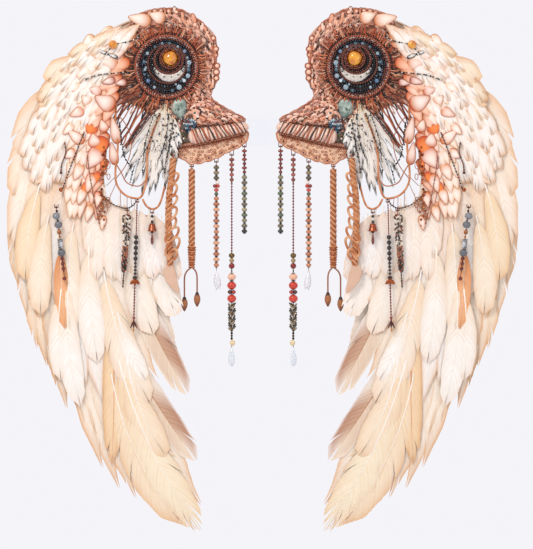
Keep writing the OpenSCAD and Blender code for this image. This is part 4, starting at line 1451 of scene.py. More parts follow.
def knots_and_pearls(threads, outline, rnd):
    """Small knots all over, and the bound pearls on the crown and down the neck."""
    knots = clear_of_rosette(scatter(outline, 6.5, rnd, 1.0), 46)
    dyes = np.array([[RUST, DARK, ROSE_PALE, COPPER, BLACK][int(k)] for k in rnd.integers(0, 5, len(knots))])
    sizes = np.repeat(rnd.uniform(0.8, 1.8, (len(knots), 1)), 3, 1)
    threads.copies(SEED, at_depth(knots, 11.6), sizes, None, dyes, 0)
    for u, z, r in ((146, 153, 5), (140, 156, 4.5), (132, 157, 4), (150, 149, 4), (122, 157, 3.6),
                    (112, 156, 3.4), (60, 78, 4.5), (59, 86, 4), (60, 70, 3.8), (61, 100, 3.2),
                    (60, 108, 3.4), (64, 122, 3.6)):
        threads.copies(ROUND, [(u, 9.5, z)], r, None, mix(CREAM, rgb("E59A6A"), 0.5), 1)
        for flat in (0.3, 0.65, 1.0):
            draw(threads, oval(u, z, r * 1.02, r * flat, 14), 9.5 + r * 0.75, 0.4, RUST, 4, closed=True)


def ring_of_beads(shape, centre, radius, depth, size, dyes, rnd):
    """Small beads side by side on a circle, each a little off its place."""
    n = int(2 * pi * radius / (size * 2.05))
    t = 2 * pi * np.arange(n) / n
    r = radius + rnd.normal(size=n) * size * 0.12
    places = np.stack([centre[0] + r * np.cos(t), centre[1] + r * np.sin(t)], 1)
    at = at_depth(places, depth + rnd.uniform(-0.2, 0.4, n))
    chosen = rnd.integers(0, len(dyes), n)
    sizes = size * np.repeat(rnd.uniform(0.85, 1.1, (n, 1)), 3, 1)
    for k, dye in enumerate(dyes):
        these = chosen == k
        if these.any():
            shape.copies(SEED, at[these], sizes[these], None, dye, 0)


def twisted_ring(shape, centre, radius, depth, thick, twists, dyes):
    """A ring of cord made of two strands laid round each other."""
    t = circle(twists * 8)
    for k, dye in enumerate(dyes):
        a = t * twists + pi * k
        r = radius + 0.5 * thick * np.cos(a)
        places = np.stack([centre[0] + r * np.cos(t), centre[1] + r * np.sin(t)], 1)
        tube(shape, at_depth(places, depth + 0.5 * thick * np.sin(a)), thick * 0.58, 5, dye, closed=True)


def rosette():
    """A dark disc with cord rings, rows of beads, a shell crescent and the amber's bezel."""
    disc, rings, beads = Shape(), Shape(), Shape()
    rnd = np.random.default_rng(17)
    slab(disc, oval(*ROSETTE, ROSETTE_R, ROSETTE_R, 72), 9, 13, 0.9, rgb("2E1A16"))
    cords_and_seeds(rings, beads, rnd)
    crescent(beads, rnd)
    bezel = [(17.2, 9.9), (16.9, 10.7), (15.6, 11.3), (13.2, 11.4), (13.0, 9.9)]
    rows = [at_depth(oval(*AMBER, r, r, 40), d) for d, r in bezel]
    rings.add(np.concatenate(rows), grid_quads(len(bezel), 40, True), col=rgb("7A4630"), mat=1)
    ring_of_beads(beads, AMBER, 10.9, 17.0, 0.75, [rgb("6A2A1C"), rgb("B06A40")], rnd)
    return disc, rings, beads


def cords_and_seeds(rings, beads, rnd):
    """The rosette's cord rings, the rows of seed beads between them and the larger beads on the outer row."""
    near, middle, far = (mix(ROSETTE, INNER_RINGS, share) for share in (0.25, 0.4, 0.6))
    for centre, r, depth, thick, twists, dyes in (
            (ROSETTE, 46.4, 12.2, 1.3, 97, ("E0A080", "C4683C")),
            (ROSETTE, 42.8, 13.6, 1.4, 89, ("5A2414", "2A120C")),
            (ROSETTE, 40.0, 14.4, 1.9, 84, ("C4704A", "7A3420")),
            (ROSETTE, 37.0, 14.6, 1.5, 62, ("A85A3E", "2A1512")),
            (middle, 25.3, 15.2, 1.4, 52, ("8A4632", "3A1C16")),
            (INNER_RINGS, 18.4, 15.6, 1.7, 36, ("8C4A35", "552A1E")),
            (AMBER + (0.3, -0.6), 12.9, 16.0, 1.1, 26, ("A85A38", "5A2A1C"))):
        twisted_ring(rings, centre, r, depth, thick, twists, [rgb(c) for c in dyes])
    black, navy, teal, grey_teal = rgb("0E0D10"), rgb("141826"), rgb("3F5A66"), rgb("8FA3AC")
    red = rgb("6A2A22")
    # The grey and teal seeds among the black ones also stand in as painted glints on the dark beads.
    for centre, r, depth, size, dyes in (
            (ROSETTE, 34.0, 14.4, 1.4, [black, navy, red]),
            (ROSETTE, 31.2, 14.7, 1.5, [black, navy, rgb("30404E")]),
            (near, 28.0, 15.0, 1.8, [black, navy, black, teal, black, grey_teal]),
            (far, 22.6, 15.2, 1.3, [black, navy, black]),
            (INNER_RINGS, 15.4, 15.6, 1.3, [black, red, black]),
            (ROSETTE, 38.4, 15.4, 0.7, [grey_teal, black, rgb("D9CFC6"), rgb("8A3A2A")]),
            (far, 20.4, 15.8, 0.8, [black, rgb("8A8F96"), black])):
        ring_of_beads(beads, centre, r, depth, size, dyes, rnd)
    # The larger grey and teal beads are partly real beads and partly painted glints of light on the dark
    # glass rows.
    for a, r, size, dye in ((170, 30, 3.3, grey_teal), (188, 29, 2.6, teal), (203, 30.5, 3.2, grey_teal),
                            (218, 29.5, 2.4, rgb("C6D2D6")), (238, 31.5, 3.6, grey_teal),
                            (256, 32, 2.4, teal), (300, 31, 2.2, grey_teal), (322, 30, 3.0, rgb("4E6A8A")),
                            (340, 30, 2.2, teal), (352, 28, 2.0, grey_teal), (80, 30.5, 2.2, rgb("5E7482")),
                            (98, 30.5, 2.4, teal), (120, 30, 2.0, grey_teal), (140, 31, 2.6, rgb("6E7E9A")),
                            (60, 29.5, 2.2, teal), (35, 30, 2.4, grey_teal), (12, 29.5, 2.6, teal)):
        at = ROSETTE + r * toward(radians(a))
        beads.copies(ROUND, [(at[0], 15.6, at[1])], (size, 1.9, size), None, dye, 1)


def crescent(beads, rnd):
    """The mottled shell crescent round the lower side of the inner rings, with its seed beads."""
    arc = np.radians(np.linspace(196, 338, 30))
    rim, fat = 21.0, 5.4 * np.sin(np.linspace(0.15, pi - 0.15, 30))
    centre = np.array([121.5, 91.5])
    grid = []
    for f in np.linspace(-1, 1, 9):
        r = rim + fat * f
        dome = 15.1 + 2.4 * np.sqrt(np.maximum(0, 1 - f * f)) * (fat / 5.4)
        grid.append(np.stack([centre[0] + r * np.cos(arc), dome, centre[1] + r * np.sin(arc)], 1))
    grid = np.array(grid)
    shade = mix(rgb("DDD4C8"), rgb("4A4240"), np.clip(rnd.normal(size=(9, 30, 1)) * 0.26 + 0.22, 0, 0.8))
    beads.add(grid.reshape(-1, 3), grid_quads(9, 30), col=shade.reshape(-1, 3), mat=2)
    for a in (214, 236, 262, 288, 312, 330):
        at = centre + (rim + 0.8 * sin(a)) * toward(radians(a))
        beads.copies(SEED, [(at[0], 17.2, at[1])], 1.0, None, rgb("0E0D10"), 0)


def amber():
    """The amber cabochon: a low uneven dome."""
    s = Shape()
    r, a = np.linspace(0, 1, 14), circle(44)
    rr, aa = np.meshgrid(r, a, indexing="ij")
    uneven = 1 + 0.03 * np.sin(3 * aa + 1) * rr
    depth = 13.2 + 7.6 * np.sqrt(np.maximum(0, 1 - (rr * 0.985) ** 2)) + 0.25 * np.sin(aa * 2 + rr * 5) * rr
    co = np.stack([AMBER[0] + 9.7 * rr * uneven * np.cos(aa), depth,
                   AMBER[1] + 9.7 * rr * uneven * np.sin(aa)], -1)
    s.add(co.reshape(-1, 3), grid_quads(14, 44, True)[:, ::-1], col=rgb("F09A2A"),
          uv=np.stack([rr, aa], -1).reshape(-1, 2))
    return s


def pebble(shape, outline, d0, height, col, rough, rnd):
    """A stone with an outline of (u, z) points, domed towards the front and a little uneven."""
    o = np.asarray(outline, float)
    c = o.mean(0)
    rows = []
    for f in np.linspace(0, 1, 7):
        depth = d0 + height * sqrt(max(0, 1 - f ** 2.4))
        bumps = rough * rnd.normal(size=len(o)) * (f < 0.9)
        rows.append(at_depth(c + (o - c) * f, depth + bumps))
    rows.append(at_depth(o, d0 - 0.8))
    shape.add(np.concatenate(rows), grid_quads(len(rows), len(o), True)[:, ::-1], col=col)


def green_stone():
    """The grey-green stone under the rosette and the cluster of beads and the spiral coin beside it."""
    stone, cluster = Shape(), Shape()
    rnd = np.random.default_rng(4)
    outline = smooth_path([(98, 35), (102, 43), (114, 42.5), (119.5, 35), (117, 25), (108, 17.5),
                           (100.5, 22)], 28, True)
    pebble(stone, outline[::-1], 12.2, 4.8, rgb("8FA79B"), 0.12, rnd)
    colours = [rgb(c) for c in ("223448", "3E5C6B", "5A8A9A", "7A2A28", "101418", "2A4A6A", "B8C4C8")]
    for i in range(46):
        a, r = i * 2.4, 9.4 * sqrt((i + 0.5) / 46)
        size = rnd.uniform(1.1, 2.0)
        cluster.copies(SEED, [(95.5 + r * cos(a), 12.4 + rnd.uniform(-0.4, 1.2) - 0.1 * r, 9 + r * sin(a))],
                       size, None, pick(rnd, colours), 0)
    t = np.linspace(0, 3.2 * 2 * pi, 90)
    r = 6.6 * (1 - t / t[-1] * 0.88)
    spiral = np.stack([103.5 + r * np.cos(t), np.full(90, 12.6) + t / t[-1] * 0.8, -6.5 + r * np.sin(t)], 1)
    tube(cluster, spiral, 0.8, 6, mix(rgb("5E6A62"), rgb("A88A6A"), (t / t[-1])[:, None]), 1)
    for u, z in ((84, 20), (88, 25), (104, 12), (110, 8), (108, 14), (86, 2), (100, -1), (112, 0),
                 (118, 12), (116, 6), (120, 17), (112, 17)):
        cluster.copies(SEED, [(u, 12.0, z)], rnd.uniform(1.0, 1.9), None,
                       pick(rnd, [BLACK, rgb("3F5A66"), rgb("F0E8DC"), rgb("6A2A22")]), 0)
    return stone, cluster


HORN_DEPTH, HORN_FAT, HORN_THIN = 13.3, 9.8, 6.4


def horn():
    """The ribbed horn of the beak, bound with copper thread, and the lace stitches along it."""
    body, wraps = Shape(), Shape()
    base, tip = np.array([90.0, -6.2]), np.array([21.0, 6.8])
    n, sides = 60, 24
    t = np.linspace(-0.1, 1.05, n)
    way = unit(tip - base)
    across = np.array([-way[1], way[0]])
    tip_round, base_round = np.maximum(0, (t - 0.95) / 0.1), np.maximum(0, (0.03 - t) / 0.13)
    radius = mix(HORN_FAT, HORN_THIN, np.clip(t, 0, 1)) * np.sqrt(np.clip(1 - tip_round ** 2, 0, 1))
    radius = radius * np.sqrt(np.clip(1 - base_round ** 2, 0, 1))
    ribs = 1 + 0.06 * np.sin(t * 26 * pi)
    a = circle(sides)
    line = base + (tip - base) * t[:, None]
    r = (radius * ribs)[:, None]
    co = np.stack([line[:, :1] + across[0] * r * np.cos(a), HORN_DEPTH + r * np.sin(a) * np.ones((n, sides)),
                   line[:, 1:] + across[1] * r * np.cos(a)], -1)
    # Painted shade and light: the tint darkens in the hollows between the ribs and pales on their crests.
    tone = mix(rgb("F0DCC8"), rgb("D9A08A"), (0.5 + 0.4 * np.sin(t * 26 * pi + 2.5))[:, None])
    body.add(co.reshape(-1, 3), grid_quads(n, sides, True), col=np.repeat(tone, sides, 0),
             uv=np.stack(np.broadcast_arrays(t[:, None], a[None] / 6.28), -1).reshape(-1, 2))
    rnd = np.random.default_rng(8)
    for k in range(15):
        s = 0.03 + 0.92 * k / 14
        rr = mix(HORN_FAT, HORN_THIN, s) * 1.04
        tilt = 0.35 + 0.1 * rnd.normal()
        c = base + (tip - base) * s
        ring = at_depth(c + np.outer(rr * np.cos(a), across + way * tilt), HORN_DEPTH + rr * np.sin(a))
        tube(wraps, ring, 0.75 if k % 3 else 1.15, 5, [RUST, rgb("C07A58"), DARK][k % 3], 0, closed=True)
        if k % 2:
            ring[:, 0] += 1.4
            tube(wraps, ring, 0.45, 5, DARK, 0, closed=True)
    for level, r, dye in ((-0.2, 0.8, rgb("8A4226")), (0.9, 1.0,
                                                       rgb("D08A60"))):     # stitches on the lace side
        s = np.linspace(0, 1, 60)
        row = base + (tip - base) * s[:, None] + across * (10.0 - 3.6 * s)[:, None]
        wave = row + across * (0.8 * np.sin(s * 70))[:, None] * (1 if level > 0 else 0.4) + across * level
        draw(wraps, wave, 11.5 + 0.8 * np.cos(s * 70), r, dye, 5)
    return body, wraps


def frill():
    """The lace frill: a scalloped web, its edge cord, its stitch line and its eyelets."""
    web, lace = Shape(), Shape()
    rnd = np.random.default_rng(12)
    outline = smooth_path([(22, 1), (20.5, -10), (30, -18), (45, -25), (60, -33), (75, -38), (92, -40.5),
                           (104, -34), (114, -28), (122, -27), (122, -22), (103, -16), (90, -14.5),
                           (60, -8.5)], 130,
                          True)
    bottom = outline[:, 1] < np.interp(outline[:, 0], [20, 60, 90, 122], [-6, -20, -27, -25])
    wave = 1.6 * np.abs(np.sin(outline[:, 0] * pi / 12.5)) * bottom
    outline[:, 1] -= wave
    slab(web, outline, 5.2, 8.2, 0.8, rgb("F2C8A6"))
    for k, (r, dye) in enumerate(((1.0, rgb("DC9468")), (0.7, rgb("FAD8BC")))):
        c = outline.mean(0)
        row = c + (outline - c) * (1 - 0.05 * k)
        draw(lace, row, 8.0 + 0.4 * k, r, dye, 6, closed=True)
    for p in scatter(outline, 4.6, rnd, 1.8):
        r = rnd.uniform(1.1, 1.8)
        draw(lace, oval(*p, r, r * 0.8, 12), 8.5, 0.42,
             pick(rnd, [rgb("D08A5E"), rgb("FBE0C8"), rgb("E0A47C"), rgb("A85A38")]), 4, closed=True)
    x = np.linspace(24, 118, 110)
    top = np.interp(x, [22, 60, 90, 103, 122], [-3, -12, -18, -19.5, -24])
    for shift, r, dye in ((0, 0.7, rgb("8A4226")), (-2.0, 0.6, RUST), (1.8, 0.9, rgb("E0A080"))):
        draw(lace, np.stack([x, top + shift + 0.7 * np.sin(x * 1.6)], 1), 9.2 + 0.5 * np.cos(x * 1.6), r,
             dye, 5)
    for u, z, r in ((109, -30, 3.6), (84, -37, 3.4), (70, -34, 3.6), (53, -27, 3.4), (27, -12, 3.8),
                    (38, -20, 3.0)):
        draw(lace, oval(u, z, r, r, 16), 8.8, 0.8, rgb("D99470"), 6, closed=True)
        lace.copies(SEED, [(u, 8.9, z)], 1.3, None, rgb("8A3A26"), 0)
    for name in OUTER_STRANDS:
        pin(lace, pivot(name), 8.0)
    return web, lace


def pin(shape, at, lift):
    """The pin that a strand swings on, with its two wire arms."""
    tube(shape, [at + (-2.6, 0, 0), at + (2.6, 0, 0)], 0.85, 8, rgb("7A4A34"), 1)
    d = min(at[1], 8.0)
    for s in (-2.3, 2.3):
        tube(shape, [at + (s, 0, 0), at + (s, 0, lift * 0.45), (at[0] + s, d, at[2] + lift)], 0.5, 6,
             rgb("7A4A34"), 1)


# ---------------------------------------------------------------- petals, lattice and loops


def petal(shape, rims, at, heading, length, width, depth, code, edge, dome=2.6, point=0.35, rim=0.45,
          cup=0.0):
    """A domed shell petal: blunt at its root and drawn to a soft point at its tip, with a stitched rim. Its
    tint deepens towards the rim, partly the shell's own darker edge and partly painted shade, and on the root
    side as painted shade where the petal above overlaps it.
    """
    n = 30
    ca, sa = np.cos(circle(n)), np.sin(circle(n))
    shape_u = length / 2 * ca
    shape_v = width / 2 * sa * (1 - point * ca * 0.55) * (1 - 0.12 * point * (1 + ca))
    h = radians(heading)
    rho = np.array([0.0, 0.25, 0.5, 0.7, 0.85, 0.95, 1.0, 0.97, 0.0])
    rise = np.array([1.0, 0.96, 0.8, 0.56, 0.34, 0.14, -0.05, -0.3, -0.3])
    rows, shades = [], []
    base, edge = np.asarray(code), np.asarray(edge)
    for r, k in zip(rho, rise):
        u = at[0] + r * (shape_u * cos(h) - shape_v * sin(h))
        v = at[1] + r * (shape_u * sin(h) + shape_v * cos(h))
        rows.append(np.stack([u, depth + dome * k + cup * r * ca, v], 1))
        # painted shade: deeper towards the rim (partly the shell's own edge) and on the root side, under the
        # petal above
        shades.append(np.clip(mix(base, edge, 0.8 * r ** 2.4 + 0.55 * r * np.clip(-ca, 0, 1)[:, None]), 0, 1))
    uv = np.stack([np.outer(rho, ca) * 0.5 + 0.5, np.outer(rho, sa) * 0.5 + 0.5], -1).reshape(-1, 2)
    shape.add(np.concatenate(rows), grid_quads(len(rho), n, True)[:, ::-1], col=np.concatenate(shades), uv=uv)
    if rim:
        ring = rows[6]
        tube(rims, ring + (0, 0.15, 0), rim, 5, edge * 0.9, 0, closed=True)


BIG_PETALS = [
    # u, z, heading, length, width, colour, rim colour (which also sets the painted shade at the rim and root)
    (160, 146.5, 12, 30, 17, "F6E0CC", "D8946C"), (137, 150, 20, 21, 16, "F6DCC6", "D8946C"),
    (199, 89, 5, 22, 16, "F0CDB8", "D88A62"), (205, 108, -20, 17, 13, "FBEBDC", "E0A480"),
    (226, 118, -35, 20, 15, "FDEFE0", "E2AC84"), (205, 39, 28, 29, 22, "F8E2D2", "C8703E"),
    (217, 54, 15, 17, 14, "EFC6B4", "D0805C"), (229, 42, 40, 15, 15, "FBEBDF", "D99468"),
    (184, 64, -10, 15, 9, "E6B8A6", "A85A40"), (200, 66, -15, 18, 10, "E9C0AE", "B0604A"),
    (186, 104, -70, 22, 13, "F2D2C0", "D08A68"), (174, 130, -5, 16, 10, "EFC8B2", "B86A4A"),
    (241, 25, -25, 20, 13, "F4CFBA", "D8885E"), (219, -11, 80, 19, 16, "F8D8C2", "D07040"),
    (243, -6, 42, 27, 14, "FBEADB", "D8844E"), (250, -29, -25, 18, 13, "FDF0E4", "D98E5E"),
    (219, -34, -55, 32, 22, "FAE2D0", "CC6A3A"), (207, 8, 70, 17, 12, "F6D6C0", "D07848"),
    (192, 2, 78, 36, 13, "F3D0BC", "C8805C"), (194, -28, 80, 30, 12, "F0C8B2", "C47A58"),
    (240, -52, -65, 24, 14, "FBE6D4", "DE9666"), (224, -66, -70, 26, 15, "FAE0CC", "D8804E"),
    (236, -84, -70, 22, 12, "FCEADB", "E09E6E"), (214, -88, -80, 22, 12, "F9DAC4", "D8763E"),
    (226, -106, -75, 22, 11, "FCE6D4", "E2A070"), (208, -118, -85, 20, 10, "FADFCB", "DE9462"),
    (231, 78, -30, 26, 13, "FDF1E4", "E6B48A"), (246, 58, -38, 24, 12, "FEF4E8", "E6B48A"),
    (214, 100, -25, 15, 10, "FBEBDD", "DE9E78"), (252, 4, -45, 20, 11, "FDF2E6", "E4A67A")]
ORANGE_PATCHES = [(210, 80, 14, 9, -15), (224, 4, 16, 12, 40), (211, -20, 24, 15, -75),
                  (231, -74, 18, 9, -60), (206, -44, 16, 9, -80), (233, 68, 10, 5, 10),
                  (216, -60, 14, 8, -70)]


def petals():
    """The band of shell petals from the crown down, with its orange ones and its copper knots."""
    shells, rims = Shape(), Shape()
    rnd = np.random.default_rng(19)
    for i, (u, z, length, width, heading) in enumerate(ORANGE_PATCHES):
        # D0561C deepens the rim and, as painted shade, the root side
        petal(shells, rims, (u, z), heading, length * 1.25, width * 1.2, 18.5 + 0.05 * i, rgb("F58A3E"),
              rgb("D0561C"), 0.9, point=0.9, rim=0.3)
    band = [(178, 128), (194, 108), (204, 84), (212, 50), (220, 14), (226, -26), (230, -62), (230, -100)]
    rows = 17
    for i in reversed(range(rows)):
        t = i / (rows - 1)
        heading = mix(-28, -84, t)
        across = np.array([-sin(radians(heading)), cos(radians(heading))])
        for k in range(5):
            c = along(band, t) + across * 9.5 * (k - 1.7) + rnd.normal(size=2) * 1.6
            if np.linalg.norm(c - ROSETTE) < 60 or c[0] < 190 and c[1] < 60 or t < 0.12 and k > 2:
                continue
            pale = mix(rgb("FBD9C2"), rgb("FFF6EA"), min(1, k / 2.6) * rnd.uniform(0.7, 1.0))
            code = mix(pale, rgb("F09A62"), (0.5 if k < 2 else 0.15) * rnd.uniform())
            # the rim colour, deeper on the inner columns, also sets the painted shade at each petal's rim and
            # root
            petal(shells, rims, c, heading + rnd.normal() * 9, rnd.uniform(24, 31), rnd.uniform(12, 15),
                  16.9 + 0.07 * (rows - i) + 0.12 * k, code, mix(rgb("D06C34"), rgb("E8B482"), k / 4), 1.3,
                  point=0.95, rim=0.28, cup=0.9)
    for i, (u, z, heading, length, width, code, edge) in enumerate(BIG_PETALS):
        petal(shells, rims, (u, z), heading, length, width, 18.7 + 0.12 * (i % 5),
              mix(rgb(code), rgb("FFF3E8"), 0.45), rgb(edge), 2.0, point=0.75, rim=0.4, cup=0.5)
    return shells, rims


def wander(points, n, rnd, size):
    """A smooth path that strays a little from its line, as loose thread does."""
    p = smooth_path(points, n)
    return p + size * np.stack([np.sin(np.arange(n) * 0.7 + rnd.uniform(0, 6)),
                                np.cos(np.arange(n) * 0.9 + rnd.uniform(0, 6))], 1) * 0.5


def lattice():
    """The open net of threads between the rosette and the petals, its copper loops and rows of dark beads."""
    net, beads = Shape(), Shape()
    rnd = np.random.default_rng(29)
    net_threads(net, rnd)
    cord_loops(net)
    beaded_lines(net, beads, rnd)
    sewn_rows(net, beads)
    loose_beads(net, beads, rnd)
    for name in INNER_STRANDS:
        pin(net, pivot(name), 4.5)
    sling(net, beads)
    return net, beads


def net_threads(net, rnd):
    """The copper and dark threads that fan out from the rosette's lower edge to the petals."""
    for i in range(24):
        t = i / 23
        start = along([(190, 74), (178, 56), (164, 44), (150, 36), (138, 30)], t) + rnd.normal(size=2) * 1.5
        end = along([(206, 44), (205, 22), (196, 4), (190, -12), (182, -20), (170, -18)], t)
        end = end + rnd.normal(size=2) * 1.5
        mid = mix(start, end, 0.5) + rnd.normal(size=2) * 3.0 + (3, -2)
        dye = [rgb("B4603A"), rgb("6A2E1C"), rgb("CC7C50"), rgb("8C4226")][i % 4]
        path = wander([start, mid, end], 24, rnd, 0.8)
        draw(net, path, 12.5 + 1.6 * sin(i * 2.2) + np.linspace(0, 3.5, 24), rnd.uniform(0.6, 1.15), dye, 6)
    for i in range(9):
        t = i / 8
        start = along([(150, 42), (170, 50), (186, 66)], t)
        end = start + np.array([rnd.uniform(14, 26), rnd.uniform(-8, 2)])
        draw(net, wander([start, mix(start, end, 0.5) + (0, 3), end], 16, rnd, 0.6), 15.0, 0.8,
             [rgb("9A4A2C"), DARK][i % 2], 6)


def cord_loops(net):
    """The copper cords that hang in loops below the net."""
    one = smooth_path([(190, 36), (191, 10), (188, -19), (191, -48), (190, -66), (181, -80), (167, -86),
                       (157, -83), (151, -62), (150, -30), (144, -4), (133, 24)], 84)
    depth = np.interp(np.arange(84), [0, 10, 60, 83], [10.9, 19.0, 19.0, 14.5])
    two = smooth_path([(156, -87), (151, -96), (143.5, -100), (136, -97), (131, -86), (126, -66), (121, -46),
                       (118, -24)], 60)
    for path, d in ((one, depth), (two, np.interp(np.arange(60), [0, 30, 42, 59], [19.0, 19.0, 14.5, 8.5]))):
        sheen = 0.4 + 0.4 * np.sin(np.arange(len(path)) * 0.8)[:, None]
        draw(net, path, d, 1.4, mix(rgb("D08048"), rgb("F0B080"), sheen), 7, 1)
    third = smooth_path([(200, -6), (196, -30), (184, -52), (176, -66), (160, -70), (148, -58)], 50)
    draw(net, third, 18.6, 0.8, rgb("C07A50"), 6, 1)
    fourth = smooth_path([(190, -60), (176, -40), (170, -12), (178, 10), (188, 22)], 40)
    draw(net, fourth, 18.2, 0.6, rgb("B46A42"), 6, 1)


def beaded_lines(net, beads, rnd):
    """Black threads that hang over the fan, with small beads at uneven gaps."""
    lines = [([(140, 26), (150, -4), (154, -24), (156, -56)], 19.0),
             ([(134, 24), (150, -20), (166, -44), (172, -66)], 19.2),
             ([(122, 24), (126, -10), (134, -34)], 18.4),
             ([(146, 24), (160, 4), (172, -10)], 18.6),
             ([(116, 16), (121, -16), (126, -40), (128, -60)], 18.2),
             ([(186, 12), (180, -30), (170, -46)], 18.8)]
    for points, d in lines:
        path = wander(points, 90, rnd, 0.6)
        draw(net, path, d, 0.35, BLACK, 5)
        gaps = np.arange(0, 90, 3)
        keep = gaps[rnd.uniform(size=len(gaps)) < 0.8]
        beads.copies(SEED, at_depth(path[keep], d + 0.3),
                     np.repeat(rnd.uniform(0.75, 1.5, (len(keep), 1)), 3, 1), None, BLACK, 0)


def sewn_rows(net, beads):
    """Rows of beads sewn over the petals, the amber bead with its two leaves, and the end beads."""
    rows = [([(232, -1), (242, -26), (252, -52), (260, -74)], "1E1214", "8A2A20", 20.6),
            ([(257, -14), (256, -28), (261, -42), (262, -52)], "8A4A2A", "2A1A16", 20.4),
            ([(231, 68), (214, 74), (196, 76), (178, 78)], "161214", "E8DCC8", 21.2),
            ([(228, -30), (224, -60), (218, -92), (212, -120)], "A85A34", "C8845C", 21.0),
            ([(206, 100), (192, 113), (172, 118), (160, 124)], "1A1618", "E8DCC8", 21.0)]
    for points, a, b, d in rows:
        path = smooth_path(points, 60)
        draw(net, path, d, 0.4, DARK, 5)
        for i in range(0, 60, 3):
            beads.copies(SEED, [(path[i, 0], d + 0.3, path[i, 1])], 1.25 if i % 2 else 1.0, None,
                         rgb(a if (i // 3) % 3 else b), 0)
    for u, z, r, code in ((262, -75, 2.8, "B86A40"), (194.5, 113.5, 6.0, "F2A446"),
                          (262, -53, 1.8, "6A3A2A")):
        beads.copies(ROUND, [(u, 21.5, z)], r, None, rgb(code), 2 if r > 5 else 1)
    for s in (1, -1):
        petal(beads, net, (200 + 6 * s, 101 + 2.2 * s), 22, 13, 4.4, 20.4, rgb("F4F0EA"), BLACK, 1.2, rim=0.5)


def loose_beads(net, beads, rnd):
    """Beads and rings of thread scattered below the rosette and down the petals' inner edge."""
    for i in range(30):
        t = i / 29
        c = along([(204, -22), (206, -44), (208, -66), (210, -92), (209, -118)], t) + rnd.normal(size=2) * 2.2
        beads.copies(SEED, [(c[0], 20.2, c[1])], rnd.uniform(1.1, 2.2), None,
                     [rgb("B4663C"), rgb("8A3F22"), rgb("D99A6C")][i % 3], 1)
    for i in range(90):
        c = np.array([rnd.uniform(98, 150), rnd.uniform(-26, 30)])
        beads.copies(SEED, [(c[0], 17.4 + rnd.uniform(0, 0.6), c[1])], rnd.uniform(0.6, 1.5), None,
                     [BLACK, BLACK, rgb("F4EEE4"), rgb("3F5A66"), rgb("6A2A22")][i % 5], 0)
    for i in range(14):
        c = np.array([202 + rnd.uniform(-3, 12), rnd.uniform(-118, -30)])
        r = rnd.uniform(3, 6)
        draw(net, oval(*c, 0.55 * r, r, 14), 20.0, 0.55, rgb("B86E46"), 5, closed=True)


def sling(net, beads):
    """The beaded thread that the inner strands hang from, and the short ties above it."""
    line = smooth_path([(206, -84), (196, -93), (184, -98), (175.5, -99), (168, -95), (162, -87)], 34)
    draw(net, line, 19.6, 0.5, DARK, 5)
    beads.copies(SEED, at_depth(line[::2], 19.9), 1.2, None, rgb("4A2018"), 0)
    for a, b in (((176, -84), (176, -98)), ((166, -86), (163, -88)), ((185, -76), (184, -97)),
                 ((171, -86), (170, -96)), ((190, -66), (200, -88)), ((189, -56), (203, -70))):
        draw(net, [a, b], 19.0, 0.45, rgb("B4683E"), 5)


def fringe():
    """Pairs of bowed threads between the rosette and the lattice, and short threads all round its rim."""
    s = Shape()
    rnd = np.random.default_rng(41)
    for i in range(16):
        t = i / 15
        start = along([(186, 84), (184, 66), (172, 50), (158, 40), (144, 36)], t)
        way = unit(start - ROSETTE)
        start = ROSETTE + way * 47
        end = ROSETTE + way * rnd.uniform(62, 78)
        for k in (-1, 1):
            mid = mix(start, end, 0.5) + k * 2.6 * np.array([-way[1], way[0]])
            draw(s, smooth_path([start, mid, end], 14), 14.5 + 0.4 * k, rnd.uniform(0.5, 0.9),
                 [rgb("A85430"), rgb("C87C50"), BLACK, rgb("DE9C70")][i % 4], 5)
    for a in circle(110):
        r0, r1 = rnd.uniform(41.5, 45), rnd.uniform(50, 60)
        b = a + rnd.normal() * 0.05
        way, bent = toward(a), toward(b)
        mid = ROSETTE + mix(way, bent, 0.5) * (r0 + r1) / 2 + rnd.normal(size=2)
        draw(s, smooth_path([ROSETTE + way * r0, mid, ROSETTE + bent * r1], 9), 14.4 + rnd.uniform(0, 1),
             rnd.uniform(0.45, 1.0), pick(rnd, THREAD_DYES), 5)
    return s


# ---------------------------------------------------------------- back, edge binding and hardware


def felt_back():
    """The felt panel everything is sewn to, with its running stitches, and the binding round its edge."""
    felt, stitches = Shape(), Shape()
    outline = smooth_path(BACK_OUTLINE, 220, True)
    slab(felt, outline, 0.05, 2.0, 0.5, rgb("EFE0CC"))
    inward = inward_steps(outline)
    row = outline + inward * 4.0
    for i in range(0, 220, 3):
        draw(stitches, row[[i, (i + 1) % 220]], [0.15, 0.15], 0.4, rgb("B46A48"), 5)
    draw(stitches, outline + inward * 1.2, 3.3, 1.35, rgb("EED8C0"), 6, closed=True)
    draw(stitches, outline + inward * 0.6, 1.8, 0.9, rgb("E6CDB2"), 6, closed=True)
    return felt, stitches


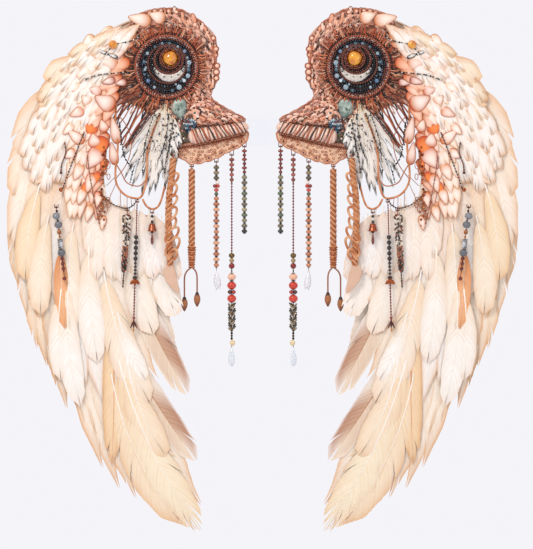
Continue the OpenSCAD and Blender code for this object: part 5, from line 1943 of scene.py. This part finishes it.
MAT["yoke"] = clear_material()
MAT["steel"] = metal_material("brushed_steel", "B8B4AE")
MAT["brass"] = metal_material("aged_brass", "A8804A")
MAT["wire"] = metal_material("armature_wire", "8A5A3C", 0.3, 0.5)
CAD_LOOKS = {"yoke_plate": "yoke", "hinge_pin": "steel", "wing_hinge_leaf": "brass", "leaf_rivets": "steel",
             "wing_frame": "wire"}
for name, o in frame["nodes"].items():
    base = name.removesuffix("_left").removesuffix("_right")
    if base in CAD_LOOKS:
        o.data.materials.clear()
        o.data.materials.append(MAT[CAD_LOOKS[base]])

# The pieces of one wing: node, name ending, shape, materials, and whether the piece replaces the node
ground, threads = crochet()
disc, rings, rosette_beads = rosette()
stone, cluster = green_stone()
horn_body, horn_wraps = horn()
frill_web, frill_lace = frill()
shells, rims = petals()
net, net_beads = lattice()
felt, stitches = felt_back()
PIECES = [
    ("crochet_panel", "ground", ground, ["knit"], True),
    ("crochet_panel", "threads", threads, ["thread", "petal"], False),
    ("crochet_panel", "waves", fringe(), ["thread"], False),
    ("rosette_disc", "disc", disc, ["felt"], True),
    ("rosette_rings", "rings", rings, ["thread", "metal"], True),
    ("rosette_rings", "beads", rosette_beads, ["bead", "pearl", "petal"], False),
    ("amber_cabochon", "dome", amber(), ["amber"], True),
    ("green_stone", "stone", stone, ["stone"], True),
    ("green_stone", "cluster", cluster, ["bead", "metal"], False),
    ("wrapped_horn", "horn", horn_body, ["petal"], True),
    ("wrapped_horn", "wraps", horn_wraps, ["thread"], False),
    ("lace_frill", "web", frill_web, ["knit"], True),
    ("lace_frill", "lace", frill_lace, ["thread", "metal"], False),
    ("shell_petals", "shells", shells, ["petal"], True),
    ("shell_petals", "rims", rims, ["thread"], False),
    ("copper_loops", "net", net, ["thread", "rope"], True),
    ("copper_loops", "beads", net_beads, ["bead", "metal", "amber"], False),
    ("back_panel", "felt", felt, ["felt"], True),
    ("back_panel", "binding", stitches, ["thread"], False)]
for name, part, shape, looks, stands_for in PIECES:
    for side, sign in SIDES:
        piece = shape.build(f"{name}_{part}", side, sign, [MAT[k] for k in looks])
        if stands_for:
            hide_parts(f"{name}_{side}")
